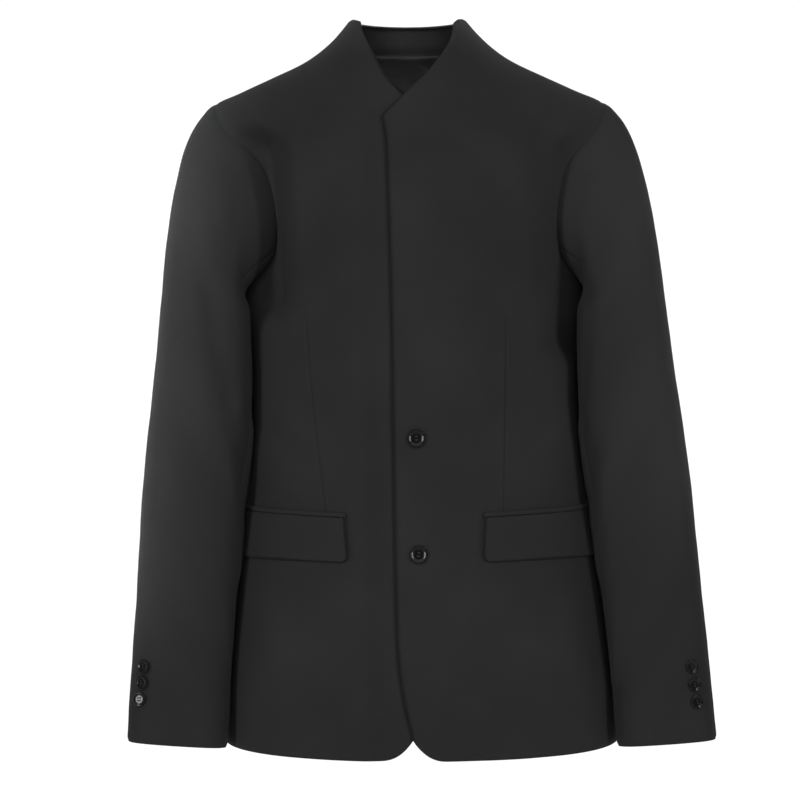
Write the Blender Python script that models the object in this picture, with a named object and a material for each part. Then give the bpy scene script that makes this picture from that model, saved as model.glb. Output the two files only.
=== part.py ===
"""Stand collar blazer, filled out as if worn, with nothing inside it.

Metres, +Z up, the front faces -Y, and +X is the wearer's left. The origin is the middle
of the neck at the height where the shoulders carry the jacket. Every cloth piece is a
wall: a grid of points on the form of the body or of a sleeve, and the same grid moved in
by the cloth's thickness. Tables are in millimetres and read from the hem or armhole on.
"""

import math
from collections import namedtuple

import bmesh
import bpy
import numpy as np
from mathutils import Matrix, Vector

MM = 0.001

# Cloth and seams
BODY_CLOTH = 2.2 * MM
SLEEVE_CLOTH = 1.8 * MM
COLLAR_CLOTH = 3.0 * MM
FACING_CLOTH = 1.0 * MM
FLAP_CLOTH = 1.6 * MM
JET_CLOTH = 1.4 * MM
SEAM_GAP = 0.3 * MM
LAID_ON_GAP = 0.5 * MM

# Heights on the side of the body
HEM_Z = -700 * MM
FRONT_HEM_Z = -711 * MM
UNDERARM_Z = -238 * MM
SHOULDER_Z = -47 * MM
CORNER_TOP_Z = -590 * MM

# Angles round the body: 0 is the centre front, 90 the side, 180 the centre back
SIDE_SEAM = math.radians(96)
SHOULDER_SEAM = math.radians(90)
CENTRE_BACK = math.radians(180)
ARMHOLE_FRONT_SCOOP = math.radians(33)
ARMHOLE_BACK_SCOOP = math.radians(28)

# Closure: the wearer's left front laps over the right
LAP_START_X = -60 * MM
LAP_FULL_X = -33 * MM
CROSSING_Z = -43 * MM
CROSSING_SHIFT = 6 * MM
CROSSING_SPREAD = 55 * MM
CORNER_SHIFT = 9 * MM
CORNER_RUN = 34 * MM
CORNER_RISE = 19 * MM

# Pockets, on each front
POCKET_FRONT_X = 67 * MM
RIGHT_POCKET_SHIFT = 3 * MM
POCKET_LENGTH = 146 * MM
FLAP_TOP_Z = -470 * MM
FLAP_HEIGHT = 47 * MM
FLAP_CORNER = 10 * MM
FLAP_SLOPE = 0.055
FLAP_RAKE = 3 * MM
JET_HEIGHT = 5 * MM

# Buttons
FRONT_BUTTON_RADIUS = 9.0 * MM
CUFF_BUTTON_RADIUS = 7.0 * MM
FRONT_BUTTON_X = 0.0
FRONT_BUTTON_HEIGHTS = (-390 * MM, -506 * MM)
BUTTON_SIDES = 16

# The body's form, a ring for each level from the hem to the collar's top edge. Columns are
# the ring's side, front and back points, and how square it is. Where the armhole cuts the
# side away, the side point only guides the ring.
BodyRing = namedtuple(
    "BodyRing", "side_x side_y side_z front_y front_z back_y back_z square"
)
BODY_RINGS = (
    BodyRing(203, 0, -700, -133, -711, 122, -702, 0.05),
    BodyRing(200, 0, -615, -133, -620, 123, -615, 0.05),
    BodyRing(187, 0, -520, -127, -520, 114, -520, 0.05),
    BodyRing(174, 0, -420, -119, -420, 103, -420, 0.05),
    BodyRing(172, 2, -325, -121, -325, 110, -322, 0.03),
    BodyRing(179, 4, -238, -124, -242, 121, -232, 0.0),
    BodyRing(188, 6, -178, -122, -196, 127, -166, -0.02),
    BodyRing(195, 8, -125, -119, -158, 124, -126, -0.03),
    BodyRing(200, 9, -85, -116, -131, 119, -93, -0.03),
    BodyRing(200, 10, -47, -112, -106, 112, -62, -0.03),
    BodyRing(183, 11, -38, -109, -92, 108, -49, -0.03),
    BodyRing(161, 12, -28, -106, -76, 104, -34, -0.03),
    BodyRing(128, 14, -13, -99, -50, 98, -12, -0.02),
    BodyRing(95, 16, 5, -86, -16, 91, 6, 0.0),
    BodyRing(74, 18, 24, -70, 8, 86, 22, 0.0),
    BodyRing(59, 20, 42, -50, 29, 80, 41, 0.0),
)
SHOULDER_RING, NECK_RING, COLLAR_RING = 9, 13, 15
NECK_SEAM_ABOVE_RING = 7 * MM
FACING_DROP = 48 * MM

# A front's leading edge, below the collar and along the collar's V. The V's crossing and
# the hem's corners lie to the wearer's right, by CROSSING_SHIFT and CORNER_SHIFT.
EdgePoint = namedtuple("EdgePoint", "height x")
FRONT_EDGE = (
    EdgePoint(-640, -23),
    EdgePoint(-590, -24),
    EdgePoint(-400, -24),
    EdgePoint(-200, -24),
    EdgePoint(-66, -26),
)
COLLAR_EDGE = (
    EdgePoint(-66, -26),
    EdgePoint(-58, -17),
    EdgePoint(-43, 0),
    EdgePoint(-25, 18),
    EdgePoint(-8, 30),
    EdgePoint(13, 42),
    EdgePoint(27, 48),
    EdgePoint(45, 51),
)

# The sleeve's form below its head, on the wearer's left, from the upper arm to the cuff
SleeveRing = namedtuple("SleeveRing", "height inner_x outer_x middle_y half_depth")
SLEEVE_RINGS = (
    SleeveRing(-262, 161, 258, -26, 65),
    SleeveRing(-330, 162, 265, -40, 60),
    SleeveRing(-455, 173, 279, -50, 52),
    SleeveRing(-558, 182, 287, -57, 45),
    SleeveRing(-661, 191, 295, -63, 38),
    SleeveRing(-698, 195, 298, -65, 36),
)
SLEEVE_SQUARE = 0.05
SLEEVE_RING_TILT = 3.5 * MM
SLEEVE_HEAD_SHARE = 0.36
BODY_CLEARANCE = 4 * MM
CLEARANCE_SOFTNESS = 5 * MM

# Where the sleeve's two seams run, as angles from its outer side towards its front
FRONT_SEAM_ANGLES = (math.radians(120), math.radians(156))
FRONT_SEAM_TURN_SHARE = 0.4
BACK_SEAM_ANGLES = (math.radians(-80), math.radians(16))

# The largest folds, as soft troughs between two points. On the body the points are x towards
# the fold's own side and height. On a sleeve they are degrees from its outer side towards its
# front, and height.
LEFT, RIGHT = 1, -1
FRONT, BACK = "front", "back"
BodyFold = namedtuple("BodyFold", "side face start_x start_z end_x end_z width depth")
BODY_FOLDS = (
    BodyFold(RIGHT, FRONT, 138, -95, 137, -250, 20, 4.5),
    BodyFold(LEFT, FRONT, 142, -85, 140, -235, 21, 5.0),
    BodyFold(RIGHT, FRONT, 104, -75, 98, -180, 13, 1.6),
    BodyFold(RIGHT, FRONT, 150, -380, 98, -428, 11, 2.2),
    BodyFold(LEFT, FRONT, 152, -352, 112, -405, 12, 2.0),
    BodyFold(LEFT, FRONT, 52, -92, 88, -126, 14, 1.5),
    BodyFold(RIGHT, BACK, 132, -110, 138, -262, 19, 4.5),
    BodyFold(LEFT, BACK, 134, -118, 136, -250, 20, 4.0),
    BodyFold(RIGHT, BACK, 120, -372, 40, -398, 13, 2.2),
    BodyFold(LEFT, BACK, 126, -395, 52, -412, 12, 2.4),
    BodyFold(RIGHT, BACK, 70, -470, 84, -640, 20, 3.0),
    BodyFold(LEFT, BACK, 58, -500, 66, -660, 22, 3.2),
)
SleeveFold = namedtuple("SleeveFold", "side start_angle start_z end_angle end_z width depth")
SLEEVE_FOLDS = (
    SleeveFold(RIGHT, 90, -232, 118, -352, 11, 3.0),
    SleeveFold(RIGHT, 118, -352, 166, -465, 12, 3.2),
    SleeveFold(RIGHT, 60, -440, 104, -520, 10, 2.0),
    SleeveFold(RIGHT, -60, -300, -120, -390, 12, 2.6),
    SleeveFold(RIGHT, -70, -420, -150, -450, 11, 2.6),
    SleeveFold(LEFT, 112, -140, 138, -215, 9, 2.4),
    SleeveFold(LEFT, 66, -98, 92, -150, 10, 2.0),
    SleeveFold(LEFT, 98, -556, 150, -652, 11, 2.4),
    SleeveFold(LEFT, 105, -350, 165, -455, 12, 2.6),
    SleeveFold(LEFT, -56, -330, -128, -400, 12, 2.6),
    SleeveFold(LEFT, -66, -440, -140, -478, 11, 2.4),
)
SLEEVE_DEGREE = 0.87 * MM

# How finely the walls are cut
FRONT_COLUMNS = 16
BACK_COLUMNS = 11
SKIRT_ROWS = 15
ARMHOLE_ROWS = 9
SHOULDER_ROWS = 9
COLLAR_COLUMNS = 18
COLLAR_ROWS = 4
FACING_ROWS = 4
TOP_SLEEVE_COLUMNS = 10
UNDER_SLEEVE_COLUMNS = 8
SLEEVE_ROWS = 19
FLAP_COLUMNS = 11
FLAP_ROWS = 5

# The jacket hangs a little to the wearer's right towards its collar
LEAN = 0.016
LEAN_MIDDLE_Z = -352 * MM


def spline(knots, values, at):
    """A natural cubic through values at the knots, read at the given places."""
    knots = np.asarray(knots, float)
    values = np.asarray(values, float).reshape(len(knots), -1)
    at = np.asarray(at, float)
    step = np.diff(knots)
    slope = np.diff(values, axis=0) / step[:, None]
    system = np.eye(len(knots))
    right = np.zeros_like(values)
    for i in range(1, len(knots) - 1):
        system[i, i - 1 : i + 2] = step[i - 1], 2 * (step[i - 1] + step[i]), step[i]
        right[i] = 6 * (slope[i] - slope[i - 1])
    bend = np.linalg.solve(system, right)
    i = np.clip(np.searchsorted(knots, at) - 1, 0, len(step) - 1)
    h = step[i][..., None]
    a = ((knots[i + 1] - at) / step[i])[..., None]
    b = 1 - a
    line = a * values[i] + b * values[i + 1]
    curve = ((a**3 - a) * bend[i] + (b**3 - b) * bend[i + 1]) * h**2 / 6
    return line + curve


def smoothstep(x):
    x = np.clip(x, 0, 1)
    return x * x * (3 - 2 * x)


def solve(function, low, high, steps=40):
    """Where a rising function crosses zero between two arrays of bounds."""
    for _ in range(steps):
        middle = (low + high) / 2
        under = function(middle) < 0
        low, high = np.where(under, middle, low), np.where(under, high, middle)
    return (low + high) / 2


def oval(angle, square):
    """Sine and cosine of a ring that is squarer than an ellipse."""
    across = (np.sin(angle) + square * np.sin(3 * angle)) / (1 - square)
    along = (np.cos(angle) - square * np.cos(3 * angle)) / (1 - square)
    return across, along


def ring_levels():
    """How far up the cloth each body ring is, as the mean over its side, front and back."""
    rings = np.array(BODY_RINGS) * MM
    sides = rings[:, [0, 1, 2]], rings[:, [3, 4]], rings[:, [5, 6]]
    steps = [np.linalg.norm(np.diff(points, axis=0), axis=1) for points in sides]
    return np.concatenate([[0], np.cumsum(np.mean(steps, axis=0))])


LEVELS = ring_levels()
SHOULDER_LEVEL = LEVELS[SHOULDER_RING]
NECK_SEAM_LEVEL = LEVELS[NECK_RING] + NECK_SEAM_ABOVE_RING
COLLAR_TOP_LEVEL = LEVELS[COLLAR_RING]


def body_columns(level):
    """The body ring's columns at a level, in metres, with the squareness last."""
    columns = np.moveaxis(spline(LEVELS, BODY_RINGS, level), -1, 0)
    return [*(columns[:-1] * MM), columns[-1]]


def body_point(angle, level):
    """A point on the cloth's outer side, on the wearer's left for angles above 0."""
    angle, level = np.broadcast_arrays(np.asarray(angle, float), level)
    side_x, side_y, side_z, front_y, front_z, back_y, back_z, square = body_columns(level)
    across, along = oval(angle, square)
    in_front = np.abs(angle) < math.pi / 2
    reach = np.where(in_front, side_y - front_y, back_y - side_y)
    rise = np.where(in_front, front_z, back_z) - side_z
    return np.stack(
        [side_x * across, side_y - reach * along, side_z + rise * np.cos(angle) ** 2],
        axis=-1,
    )


def normals(surface, u, w, step=1e-3):
    """Unit normals of a surface of two parameters, by differences."""
    along_u = surface(u + step, w) - surface(u - step, w)
    along_w = surface(u, w + step) - surface(u, w - step)
    normal = np.cross(along_u, along_w)
    return normal / np.linalg.norm(normal, axis=-1, keepdims=True)


def level_of(side_height):
    """The level whose side point has this height."""
    levels = np.linspace(0, LEVELS[-1], 500)
    return np.interp(side_height, body_columns(levels)[2], levels)


def seam_angle(angle, level):
    """Half the seam gap as an angle round the body."""
    step = 1e-3
    speed = body_point(angle + step, level) - body_point(angle - step, level)
    return SEAM_GAP / 2 / (np.linalg.norm(speed, axis=-1) / (2 * step))


def edge_x(height, side):
    """How far past the centre a front's leading edge is at a height."""
    below = np.array(FRONT_EDGE) * MM
    along_collar = np.array(COLLAR_EDGE) * MM
    x = np.where(
        height < below[-1, 0],
        spline(below[:, 0], below[:, 1], np.maximum(height, below[0, 0]))[..., 0],
        spline(along_collar[:, 0], along_collar[:, 1], height)[..., 0],
    )
    drop = np.clip((CORNER_TOP_Z - height) / (CORNER_TOP_Z - FRONT_HEM_Z - CORNER_RISE), 0, 1)
    corner_x = -CORNER_SHIFT * side
    near = np.clip(1 - np.abs(height - CROSSING_Z) / CROSSING_SPREAD, 0, 1)
    return x + (corner_x - x) * drop**2.2 - CROSSING_SHIFT * side * smoothstep(near)


def raised(height, x, side):
    """A row's height near the hem, where the rounded corner lifts the rows above it."""
    run = np.clip(1 - (x + CORNER_SHIFT * side) / CORNER_RUN, 0, 1)
    share = np.clip((height - FRONT_HEM_Z) / (CORNER_TOP_Z - FRONT_HEM_Z), 0, 1)
    return height + CORNER_RISE * run**2.4 * (1 - share)


def armhole(turn):
    """Angles of the front and back armhole edges and their level. turn runs from 0 at the
    underarm to pi at the shoulder."""
    middle, half = (SHOULDER_Z + UNDERARM_Z) / 2, (SHOULDER_Z - UNDERARM_Z) / 2
    level = level_of(middle - half * np.cos(turn))
    seam = SIDE_SEAM + (SHOULDER_SEAM - SIDE_SEAM) * turn / math.pi
    scoop = np.sin(turn) * (1 + 0.18 * np.cos(turn))
    return seam - ARMHOLE_FRONT_SCOOP * scoop, seam + ARMHOLE_BACK_SCOOP * scoop, level


def panel_rows(top_level):
    """Levels of a body panel's rows and the front and back angles of its side edge."""
    skirt = level_of(np.linspace(HEM_Z, UNDERARM_Z, SKIRT_ROWS + 1))[:-1]
    turn = np.linspace(0, math.pi, ARMHOLE_ROWS + 1)
    front, back, hole = armhole(turn)
    over = np.linspace(SHOULDER_LEVEL, top_level, SHOULDER_ROWS + 1)[1:]
    levels = np.concatenate([skirt, hole, over])
    below, above = np.full(len(skirt), SIDE_SEAM), np.full(len(over), SHOULDER_SEAM)
    return (
        levels,
        np.concatenate([below, front, above]),
        np.concatenate([below, back, above]),
    )


def front_wall(side):
    """Outer and inner points of one front with its half of the collar's front."""
    levels, side_edge, _ = panel_rows(COLLAR_TOP_LEVEL)
    side_edge = side_edge - seam_angle(side_edge, levels)

    def past_edge(angle):
        point = body_point(angle, levels)
        height = raised(point[..., 2], edge_x(point[..., 2], side), side)
        return point[..., 0] - edge_x(height, side)

    low = np.full(len(levels), math.radians(-25))
    leading = solve(past_edge, low, side_edge)
    share = centre_first(FRONT_COLUMNS)
    angle = leading[:, None] + (side_edge - leading)[:, None] * share
    level = np.broadcast_to(levels[:, None], angle.shape)
    rough = body_point(angle, level)
    lift = raised(rough[..., 2], rough[..., 0], side) - rough[..., 2]
    level = level_of(body_columns(level)[2] + lift)
    return wall_on_body(angle, level, BODY_CLOTH, lap_depth(side), side, FRONT)


def centre_first(columns):
    """Shares for a front's columns, closer together at its leading edge."""
    even = np.linspace(0, 1, columns + 1)
    return even * (0.7 + 0.3 * even)


def lap_depth(side):
    """How deep a front lies at each x: the right one goes under the left at the closure."""
    if side == LEFT:
        return lambda x: np.zeros_like(x)
    under = BODY_CLOTH + SEAM_GAP * 2
    return lambda x: under * smoothstep((-LAP_START_X - x) / (LAP_FULL_X - LAP_START_X))


def trough(start, end, width, depth, across, height):
    """The depth of one soft trough at points across and up a surface."""
    run = np.array(end, float) - start
    place = np.stack([across, height], axis=-1) - start
    share = np.clip(place @ run / (run @ run), 0, 1)
    away = np.linalg.norm(place - share[..., None] * run, axis=-1)
    return depth * np.exp(-((away / width) ** 2))


def body_relief(point, side, face):
    """How far the folds sink the body's cloth at points on one side and face."""
    x, z = point[..., 0] / MM, point[..., 2] / MM
    return MM * sum(
        trough((f.start_x, f.start_z), (f.end_x, f.end_z), f.width, f.depth, x, z)
        for f in BODY_FOLDS
        if (f.side, f.face) == (side, face)
    )


def sleeve_relief(angle, point, side):
    """How far the folds sink the sleeve's cloth."""
    unit = SLEEVE_DEGREE / MM
    turn = (np.degrees(angle) + 180) % 360 - 180
    return MM * sum(
        trough(
            (f.start_angle * unit, f.start_z),
            (f.end_angle * unit, f.end_z),
            f.width,
            f.depth,
            turn * unit,
            point[..., 2] / MM,
        )
        for f in SLEEVE_FOLDS
        if f.side == side
    )


def wall_on_body(angle, level, thick, depth, side, face):
    """A wall whose outer face is depth(x) under the body's form, with its folds."""
    point = body_point(angle, level)
    out = normals(body_point, angle, level)
    sunk = depth(point[..., 0]) + body_relief(point, side, face)
    outer = point - out * sunk[..., None]
    inner = outer - out * thick
    mirror = np.array([side, 1, 1])
    return outer * mirror, inner * mirror


def back_wall(side):
    levels, _, side_edge = panel_rows(NECK_SEAM_LEVEL)
    side_edge = side_edge + seam_angle(side_edge, levels)
    centre = CENTRE_BACK - seam_angle(np.full(len(levels), CENTRE_BACK), levels)
    share = np.linspace(0, 1, BACK_COLUMNS + 1)
    angle = side_edge[:, None] + (centre - side_edge)[:, None] * share
    level = np.broadcast_to(levels[:, None], angle.shape)
    return wall_on_body(angle, level, BODY_CLOTH, np.zeros_like, side, BACK)


def collar_wall():
    """The stand behind the neck, from one shoulder seam to the other."""
    levels = np.linspace(NECK_SEAM_LEVEL + SEAM_GAP * 1.3, COLLAR_TOP_LEVEL, COLLAR_ROWS + 1)
    start = SHOULDER_SEAM + seam_angle(np.full(len(levels), SHOULDER_SEAM), levels)
    share = np.linspace(0, 1, COLLAR_COLUMNS + 1)
    angle = start[:, None] + (2 * math.pi - 2 * start)[:, None] * share
    level = np.broadcast_to(levels[:, None], angle.shape)
    return round_the_back(angle, level, COLLAR_CLOTH, 0.0)


def facing_wall():
    """The back neck facing, inside the backs and under the collar's seam."""
    depth = BODY_CLOTH + SEAM_GAP
    share = np.linspace(-1, 1, COLLAR_COLUMNS + 1)
    angle = CENTRE_BACK + share * (CENTRE_BACK - SHOULDER_SEAM) * 0.9
    drop = FACING_DROP * (1 - 0.35 * share**2)
    rows = np.linspace(1, 0, FACING_ROWS + 1)[:, None]
    level = NECK_SEAM_LEVEL - SEAM_GAP - drop * rows
    return round_the_back(np.broadcast_to(angle, level.shape), level, FACING_CLOTH, depth)


def round_the_back(angle, level, thick, depth):
    """A wall over both halves of the back, at a depth under the form."""
    half = np.where(angle > math.pi, 2 * math.pi - angle, angle)
    mirror = np.where(angle > math.pi, RIGHT, LEFT)[..., None] * np.array([1, 0, 0])
    mirror = mirror + np.array([0, 1, 1])
    point = body_point(half, level) * mirror
    out = normals(body_point, half, level) * mirror
    return point - out * depth, point - out * (depth + thick)


def body_half_width(y, height):
    """The body's half width at a depth and height, for keeping the sleeve clear of it."""
    level = level_of(np.minimum(height, UNDERARM_Z))

    def behind(angle):
        return body_point(angle, level)[..., 1] - y

    angle = solve(behind, np.zeros_like(y), np.full_like(y, math.pi))
    return body_point(angle, level)[..., 0]


def sleeve_head(turn):
    """Where the sleeve starts round the armhole, and the way it leaves. turn runs from 0 at
    the underarm over the front to pi at the shoulder, and on down the back."""
    front, back, level = armhole(np.where(turn > math.pi, 2 * math.pi - turn, turn))
    edge = np.where(turn > math.pi, back, front)
    start = body_point(edge, level) + normals(body_point, edge, level) * SEAM_GAP
    up, fore = -np.cos(turn), np.sin(turn)
    way = np.stack([0.55 + 0.35 * up, -0.35 * fore, -0.62 + 0.20 * up], axis=-1)
    way = way / np.linalg.norm(way, axis=-1, keepdims=True)
    reach = (84 + 54 * up) * MM
    return start + way * SEAM_GAP, way * reach[..., None]


def sleeve_tube(angle, share):
    """A point on the sleeve below its head. share runs from 0 at the upper arm to 1."""
    rings = np.array(SLEEVE_RINGS)
    heights = -rings[:, 0]
    down = heights[0] + (heights[-1] - heights[0]) * share
    inner, outer, middle_y, half_depth = np.moveaxis(
        spline(heights, rings[:, 1:] * MM, down), -1, 0
    )
    fore, out = oval(angle, SLEEVE_SQUARE)
    x = (inner + outer) / 2 + (outer - inner) / 2 * out
    y = middle_y - half_depth * fore
    z = -down * MM + SLEEVE_RING_TILT * out
    over = x - body_half_width(y, z) - BODY_CLEARANCE
    eased = (np.sqrt(over**2 + CLEARANCE_SOFTNESS**2) - over) / 2
    return np.stack([x + eased, y, z], axis=-1)


def sleeve_point(angle, run):
    """A point on the left sleeve's outer side. angle is 0 outside and 90 degrees in front,
    and run goes from 0 at the armhole to 1 at the cuff."""
    angle, run = np.broadcast_arrays(np.asarray(angle, float), np.asarray(run, float))
    start, leave = sleeve_head(np.mod(math.pi - angle, 2 * math.pi))
    share = np.clip((run - SLEEVE_HEAD_SHARE) / (1 - SLEEVE_HEAD_SHARE), 0, 1)
    below = sleeve_tube(angle, share)
    arrive = sleeve_tube(angle, np.full_like(angle, 0.01)) - sleeve_tube(angle, 0 * angle)
    length = np.linalg.norm(below - start, axis=-1, keepdims=True)
    arrive = arrive / np.linalg.norm(arrive, axis=-1, keepdims=True) * length
    t = np.clip(run / SLEEVE_HEAD_SHARE, 0, 1)[..., None]
    head = (
        (2 * t**3 - 3 * t**2 + 1) * start
        + (t**3 - 2 * t**2 + t) * leave
        + (3 * t**2 - 2 * t**3) * below
        + (t**3 - t**2) * arrive
    )
    return np.where(t < 1, head, below)


def sleeve_wall(side, top):
    """The outer (top) or inner (under) half of a two-piece sleeve."""
    run = head_first(SLEEVE_ROWS)
    back = BACK_SEAM_ANGLES[0] + np.diff(BACK_SEAM_ANGLES) * smoothstep(run)
    turned = smoothstep(run / FRONT_SEAM_TURN_SHARE)
    front = FRONT_SEAM_ANGLES[0] + np.diff(FRONT_SEAM_ANGLES) * turned
    columns = TOP_SLEEVE_COLUMNS if top else UNDER_SLEEVE_COLUMNS
    begin, end = (back, front) if top else (front, back + 2 * math.pi)
    gap = SEAM_GAP / 2 / np.linalg.norm(
        sleeve_point(begin + 0.5e-3, run) - sleeve_point(begin - 0.5e-3, run), axis=-1
    ) * 1e-3
    begin, end = begin + gap, end - gap
    angle = begin[:, None] + (end - begin)[:, None] * np.linspace(0, 1, columns + 1)
    rows = np.broadcast_to(run[:, None], angle.shape)
    outer = sleeve_point(angle, rows)
    out = sleeve_normals(angle, rows)
    outer = outer - out * sleeve_relief(angle, outer, side)[..., None]
    mirror = np.array([side, 1, 1])
    return outer * mirror, (outer - out * SLEEVE_CLOTH) * mirror


def head_first(rows):
    """Runs for a sleeve's rows, closer together in its head."""
    even = np.linspace(0, 1, rows + 1)
    return even * (0.72 + 0.28 * even)


def sleeve_normals(angle, run):
    inside = np.clip(run, 2e-3, 1 - 2e-3)
    return normals(sleeve_point, angle, inside)


def pocket_grid(side, top, bottom, corner):
    """Angles and levels of a strip on the front that follows the pocket's line."""
    middle = level_of(FLAP_TOP_Z)
    fine = np.linspace(0, math.pi / 2 + 0.1, 400)
    line = body_point(fine, middle)
    length = np.concatenate([[0], np.cumsum(np.linalg.norm(np.diff(line, axis=0), axis=1))])
    front_end = POCKET_FRONT_X + (RIGHT_POCKET_SHIFT if side == RIGHT else 0)
    begin = np.interp(front_end, line[:, 0], length)
    down = np.linspace(top, bottom, (FLAP_ROWS if corner else 1) + 1)
    columns = np.linspace(0, 1, FLAP_COLUMNS + 1) ** 1.15
    rake = FLAP_RAKE * (top - down) / FLAP_HEIGHT
    cut = corner - np.sqrt(np.maximum(corner**2 - np.maximum(bottom + corner - down, 0) ** 2, 0))
    near = begin - rake + cut
    far = begin + POCKET_LENGTH - cut
    along = near[:, None] + (far - near)[:, None] * columns
    angle = np.interp(along, length, fine)
    height = down[:, None] + FLAP_SLOPE * (along - begin)
    return angle, level_of(height)


def pocket_wall(side, top, bottom, thick, corner):
    """A wall laid on the front between two heights."""
    angle, level = pocket_grid(side, top, bottom, corner)
    point, out = body_point(angle, level), normals(body_point, angle, level)
    mirror = np.array([side, 1, 1])
    inner = point + out * (LAID_ON_GAP - body_relief(point, side, FRONT))[..., None]
    return (inner + out * thick) * mirror, inner * mirror


def leaned(points):
    """Points moved sideways by the jacket's lean."""
    points = np.array(points, float)
    points[..., 0] -= LEAN * (points[..., 2] - LEAN_MIDDLE_Z)
    return points


def material(name, colour, roughness):
    made = bpy.data.materials.new(name)
    made.use_nodes = True
    shader = made.node_tree.nodes["Principled BSDF"]
    shader.inputs["Base Color"].default_value = (*colour, 1)
    shader.inputs["Roughness"].default_value = roughness
    shader.inputs["Metallic"].default_value = 0
    return made


def add_object(name, mesh_builder, cloth, parent):
    """Closes up a bmesh as a named object, facing out and shaded smooth."""
    bmesh.ops.recalc_face_normals(mesh_builder, faces=mesh_builder.faces)
    if mesh_builder.calc_volume(signed=True) < 0:
        bmesh.ops.reverse_faces(mesh_builder, faces=mesh_builder.faces)
    mesh = bpy.data.meshes.new(name)
    mesh_builder.to_mesh(mesh)
    mesh_builder.free()
    mesh.shade_smooth()
    mesh.set_sharp_from_angle(angle=math.radians(40))
    mesh.materials.append(cloth)
    made = bpy.data.objects.new(name, mesh)
    made.parent = parent
    bpy.context.scene.collection.objects.link(made)
    return made


def add_wall(name, faces_of_wall, cloth, parent):
    """A closed wall between two grids of points."""
    builder = bmesh.new()
    outer, inner = [
        [[builder.verts.new(point) for point in row] for row in leaned(grid)]
        for grid in faces_of_wall
    ]
    rows, columns = len(outer), len(outer[0])
    for grid in (outer, inner):
        for i in range(rows - 1):
            for j in range(columns - 1):
                builder.faces.new(
                    (grid[i][j], grid[i][j + 1], grid[i + 1][j + 1], grid[i + 1][j])
                )
    ring = [(0, j) for j in range(columns - 1)]
    ring += [(i, columns - 1) for i in range(rows - 1)]
    ring += [(rows - 1, j) for j in range(columns - 1, 0, -1)]
    ring += [(i, 0) for i in range(rows - 1, 0, -1)]
    for here, there in zip(ring, ring[1:] + ring[:1]):
        builder.faces.new(
            (
                outer[here[0]][here[1]],
                outer[there[0]][there[1]],
                inner[there[0]][there[1]],
                inner[here[0]][here[1]],
            )
        )
    return add_object(name, builder, cloth, parent)


# A button's turned profile from its rim's underside to its sunk middle, as shares of its radius
ButtonRing = namedtuple("ButtonRing", "radius height")
BUTTON_RINGS = (
    ButtonRing(0.72, 0.0),
    ButtonRing(0.97, 0.10),
    ButtonRing(1.0, 0.22),
    ButtonRing(0.90, 0.34),
    ButtonRing(0.72, 0.30),
    ButtonRing(0.58, 0.20),
)


def add_button(name, radius, point, out, cloth, parent):
    """A button with a raised rim, its flat back just off the cloth."""
    builder = bmesh.new()
    rings = []
    for ring in BUTTON_RINGS:
        circle = bmesh.ops.create_circle(
            builder,
            segments=BUTTON_SIDES,
            radius=ring.radius * radius,
            matrix=Matrix.Translation((0, 0, ring.height * radius)),
        )
        rings.append(circle["verts"])
    for low, high in zip(rings, rings[1:]):
        for i in range(BUTTON_SIDES):
            j = (i + 1) % BUTTON_SIDES
            builder.faces.new((low[i], low[j], high[j], high[i]))
    builder.faces.new(rings[0])
    builder.faces.new(rings[-1])
    button = add_object(name, builder, cloth, parent)
    turn = Vector(out).to_track_quat("Z", "Y").to_matrix().to_4x4()
    button.matrix_world = Matrix.Translation(Vector(leaned(point)) + out * SEAM_GAP) @ turn
    return button


def front_button_place(height):
    level = level_of(height)
    angle = solve(
        lambda a: body_point(a, level)[..., 0] - FRONT_BUTTON_X, np.array(-0.3), np.array(0.5)
    )
    return Vector(body_point(angle, level)), Vector(normals(body_point, angle, level))


# Heights in millimetres and angles in degrees of the cuff buttons, from the top one down
CuffButton = namedtuple("CuffButton", "height angle")
CUFF_BUTTONS = {
    LEFT: (CuffButton(-620, 58), CuffButton(-638, 57), CuffButton(-655, 56)),
    RIGHT: (CuffButton(-618, 51), CuffButton(-634, 50), CuffButton(-651, 48)),
}


def cuff_button_place(button, side):
    angle = np.array(math.radians(button.angle))

    def lower(run):
        return button.height * MM - sleeve_point(angle, run)[..., 2]

    run = solve(lower, np.array(SLEEVE_HEAD_SHARE), np.array(1.0))
    mirror = np.array([side, 1, 1])
    point = sleeve_point(angle, run) * mirror
    return Vector(point), Vector(sleeve_normals(angle, run) * mirror)


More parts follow.
